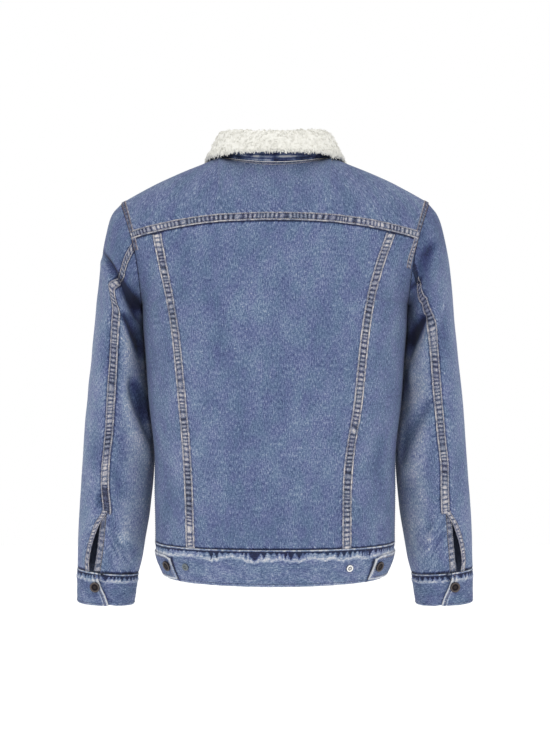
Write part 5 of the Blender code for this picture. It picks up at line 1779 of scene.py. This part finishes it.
BUTTON_PROFILE = (
    (0.0000, 0.0024, 0.1), (0.0012, 0.0025, 0.3), (0.0022, 0.0026, 0.2), (0.0032, 0.0022, 0.0),
    (0.0045, 0.0022, 0.0), (0.0052, 0.0025, 0.3), (0.0060, 0.0033, 0.9), (0.0066, 0.0036, 1.0),
    (0.0073, 0.0035, 0.8), (0.0079, 0.0030, 0.6), (0.0081, 0.0022, 0.3), (0.0080, 0.0012, 0.0),
    (0.0074, 0.0008, 0.0), (0.0050, 0.0006, 0.0), (0.0034, 0.0004, 0.0), (0.0034, -0.0004, 0.0),
    (0.0000, -0.0004, 0.0),
)
STUD_PROFILE = (
    (0.0000, 0.0017, 0.8), (0.0010, 0.0017, 0.8), (0.0016, 0.0013, 0.2), (0.0021, 0.0010, 0.0),
    (0.0027, 0.0011, 0.1), (0.0034, 0.0020, 0.8), (0.0041, 0.0024, 1.0), (0.0049, 0.0021, 0.9),
    (0.0055, 0.0013, 0.6), (0.0057, 0.0006, 0.2), (0.0057, -0.0003, 0.0), (0.0000, -0.0003, 0.0),
)
BUTTON_STEPS = 44


def lathe(name, node, skin, u, v, lift, profile=BUTTON_PROFILE, material="antique"):
    """Turned piece on a skin at (u, v), made of (radius, height, rub) rings."""
    u, v = np.array([u]), np.array([v])
    centre, normal = skin(u, v, full(u, lift))[0], skin.normals(u, v)[0]
    helper = np.array((0, 0, 1.0)) if abs(normal[2]) < 0.9 else np.array((1.0, 0, 0))
    right = unit(np.cross(helper, normal))
    up = np.cross(normal, right)
    angle = np.arange(BUTTON_STEPS) / BUTTON_STEPS * 2 * PI
    rings = profile[1:-1]
    points, rub = [centre + normal * profile[0][1]], [profile[0][2]]
    for radius, height, shine in rings:
        around = np.cos(angle)[:, None] * right + np.sin(angle)[:, None] * up
        points += list(centre + normal * height + radius * around)
        rub += [shine] * BUTTON_STEPS
    points.append(centre + normal * profile[-1][1])
    rub.append(0)
    faces = []
    for k in range(BUTTON_STEPS):
        after = (k + 1) % BUTTON_STEPS
        faces.append((0, 1 + k, 1 + after))
        for ring in range(len(rings) - 1):
            a, b = 1 + ring * BUTTON_STEPS + k, 1 + ring * BUTTON_STEPS + after
            faces.append((a, a + BUTTON_STEPS, b + BUTTON_STEPS, b))
        base = 1 + (len(rings) - 1) * BUTTON_STEPS
        faces.append((len(points) - 1, base + after, base + k))
    points = np.array(points)
    piece = mesh_object(name, points, faces, {"wear": rub, "cloth": points}, material)
    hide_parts(node)


def make_buttons():
    """Shank buttons down the front, on the band, tabs and cuffs, and the studs."""
    flat_front = FRONT.flat()
    for i, level in enumerate(FRONT_BUTTON_LEVELS):
        lathe(f"metal_front_button_{i + 1}", f"front_button_{i + 1}", flat_front, 0.0001, front_v(level),
              PLACKET_PROUD + BUTTON_GAP)
    lathe("metal_waistband_button", "waistband_button", BAND_FLAT, -PI, TAB_BUTTON_HEIGHT, BUTTON_GAP)
    for side, sign in (("left", -1), ("right", 1)):
        lathe(f"metal_tab_button_{side}", f"waist_tab_button_{side}", BAND_FLAT,
              np.radians(sign * (TAB_ENDS[side] + TAB_BUTTON_INSET)), TAB_BUTTON_HEIGHT,
              TAB_GAP + TAB_CLOTH + BUTTON_GAP)
        lathe(f"metal_stud_{side}", f"waist_stud_{side}", BAND_FLAT, np.radians(sign * STUD_TURNS[side]),
              TAB_BUTTON_HEIGHT, BUTTON_GAP, STUD_PROFILE, "nickel" if side == "right" else "tarnished")
        lathe(f"metal_cuff_button_{side}", f"cuff_button_{side}", CUFFS[side].flat(),
              np.radians(CUFF_BUTTON_TURN), CUFF_BUTTON_RING, BUTTON_GAP)


# ----------------------------------------------------------------- stage

CAMERA_DISTANCE = 2.2
CAMERA_HEIGHT = -0.306
LENS = 69.57
SENSOR = 36
FLOOR_HEIGHT = -1.60
FLOOR_HALF = 8.0


def make_stage():
    """Pale floor, soft studio light and the camera behind the jacket."""
    camera = bpy.data.cameras.new("camera")
    camera.sensor_fit = "VERTICAL"
    camera.sensor_height = SENSOR
    camera.lens = LENS
    holder = bpy.data.objects.new("camera", camera)
    holder.location = (0, CAMERA_DISTANCE, CAMERA_HEIGHT)
    holder.rotation_euler = (QUARTER, 0, PI)
    bpy.context.scene.collection.objects.link(holder)
    bpy.context.scene.camera = holder

    make_floor()

    world = bpy.data.worlds.new("studio")
    world.use_nodes = True
    background = world.node_tree.nodes["Background"]
    background.inputs["Color"].default_value = (1.0, 1.0, 1.0, 1)
    background.inputs["Strength"].default_value = 1.0
    bpy.context.scene.world = world
    for name, place, size, power in (
            ("key", (-0.9, 2.4, 1.3), 1.6, 12), ("fill", (1.6, 2.0, 0.3), 1.8, 6),
            ("front", (0.5, -2.6, 1.2), 2.0, 12)):
        light = bpy.data.lights.new(name, "AREA")
        light.energy = power
        light.size = size
        lamp = bpy.data.objects.new(name, light)
        lamp.location = place
        aim = Vector((0, 0, CAMERA_HEIGHT)) - Vector(place)
        lamp.rotation_euler = aim.to_track_quat("-Z", "Y").to_euler()
        bpy.context.scene.collection.objects.link(lamp)
    bpy.context.scene.view_settings.view_transform = "Standard"


def make_floor():
    """Plain pale floor."""
    mesh = bpy.data.meshes.new("floor")
    corners = [(x, y, FLOOR_HEIGHT) for x, y in (
        (-FLOOR_HALF, -FLOOR_HALF), (FLOOR_HALF, -FLOOR_HALF), (FLOOR_HALF, FLOOR_HALF),
        (-FLOOR_HALF, FLOOR_HALF))]
    mesh.from_pydata(corners, [], [(0, 1, 2, 3)])
    g = Graph("pale_floor")
    place = g.node("TexCoord").outputs["Object"]
    grain = g.noise(g.scaled(place, (3, 3, 3)), detail=4.0)
    colour = g.mix(grain, (0.97, 0.97, 0.97), (1.0, 1.0, 1.0))
    mesh.materials.append(g.finish(colour, grain, distance=0.001, strength=0.05, Roughness=0.9,
                                   Emission_Color=(1, 1, 1, 1), Emission_Strength=0.12))
    floor = bpy.data.objects.new("floor", mesh)
    bpy.context.scene.collection.objects.link(floor)
    return floor


# ------------------------------------------------------------------ main

make_back()
make_back_seams()
make_fronts()
make_armhole_seams()
make_shoulder_seams()
make_sleeves()
make_waistband()
make_tabs()
make_cuffs()
make_collar()
make_lining()
make_buttons()
for thread_name, stitch_rows in STITCHES.items():
    make_stitches(thread_name, stitch_rows)
make_stage()
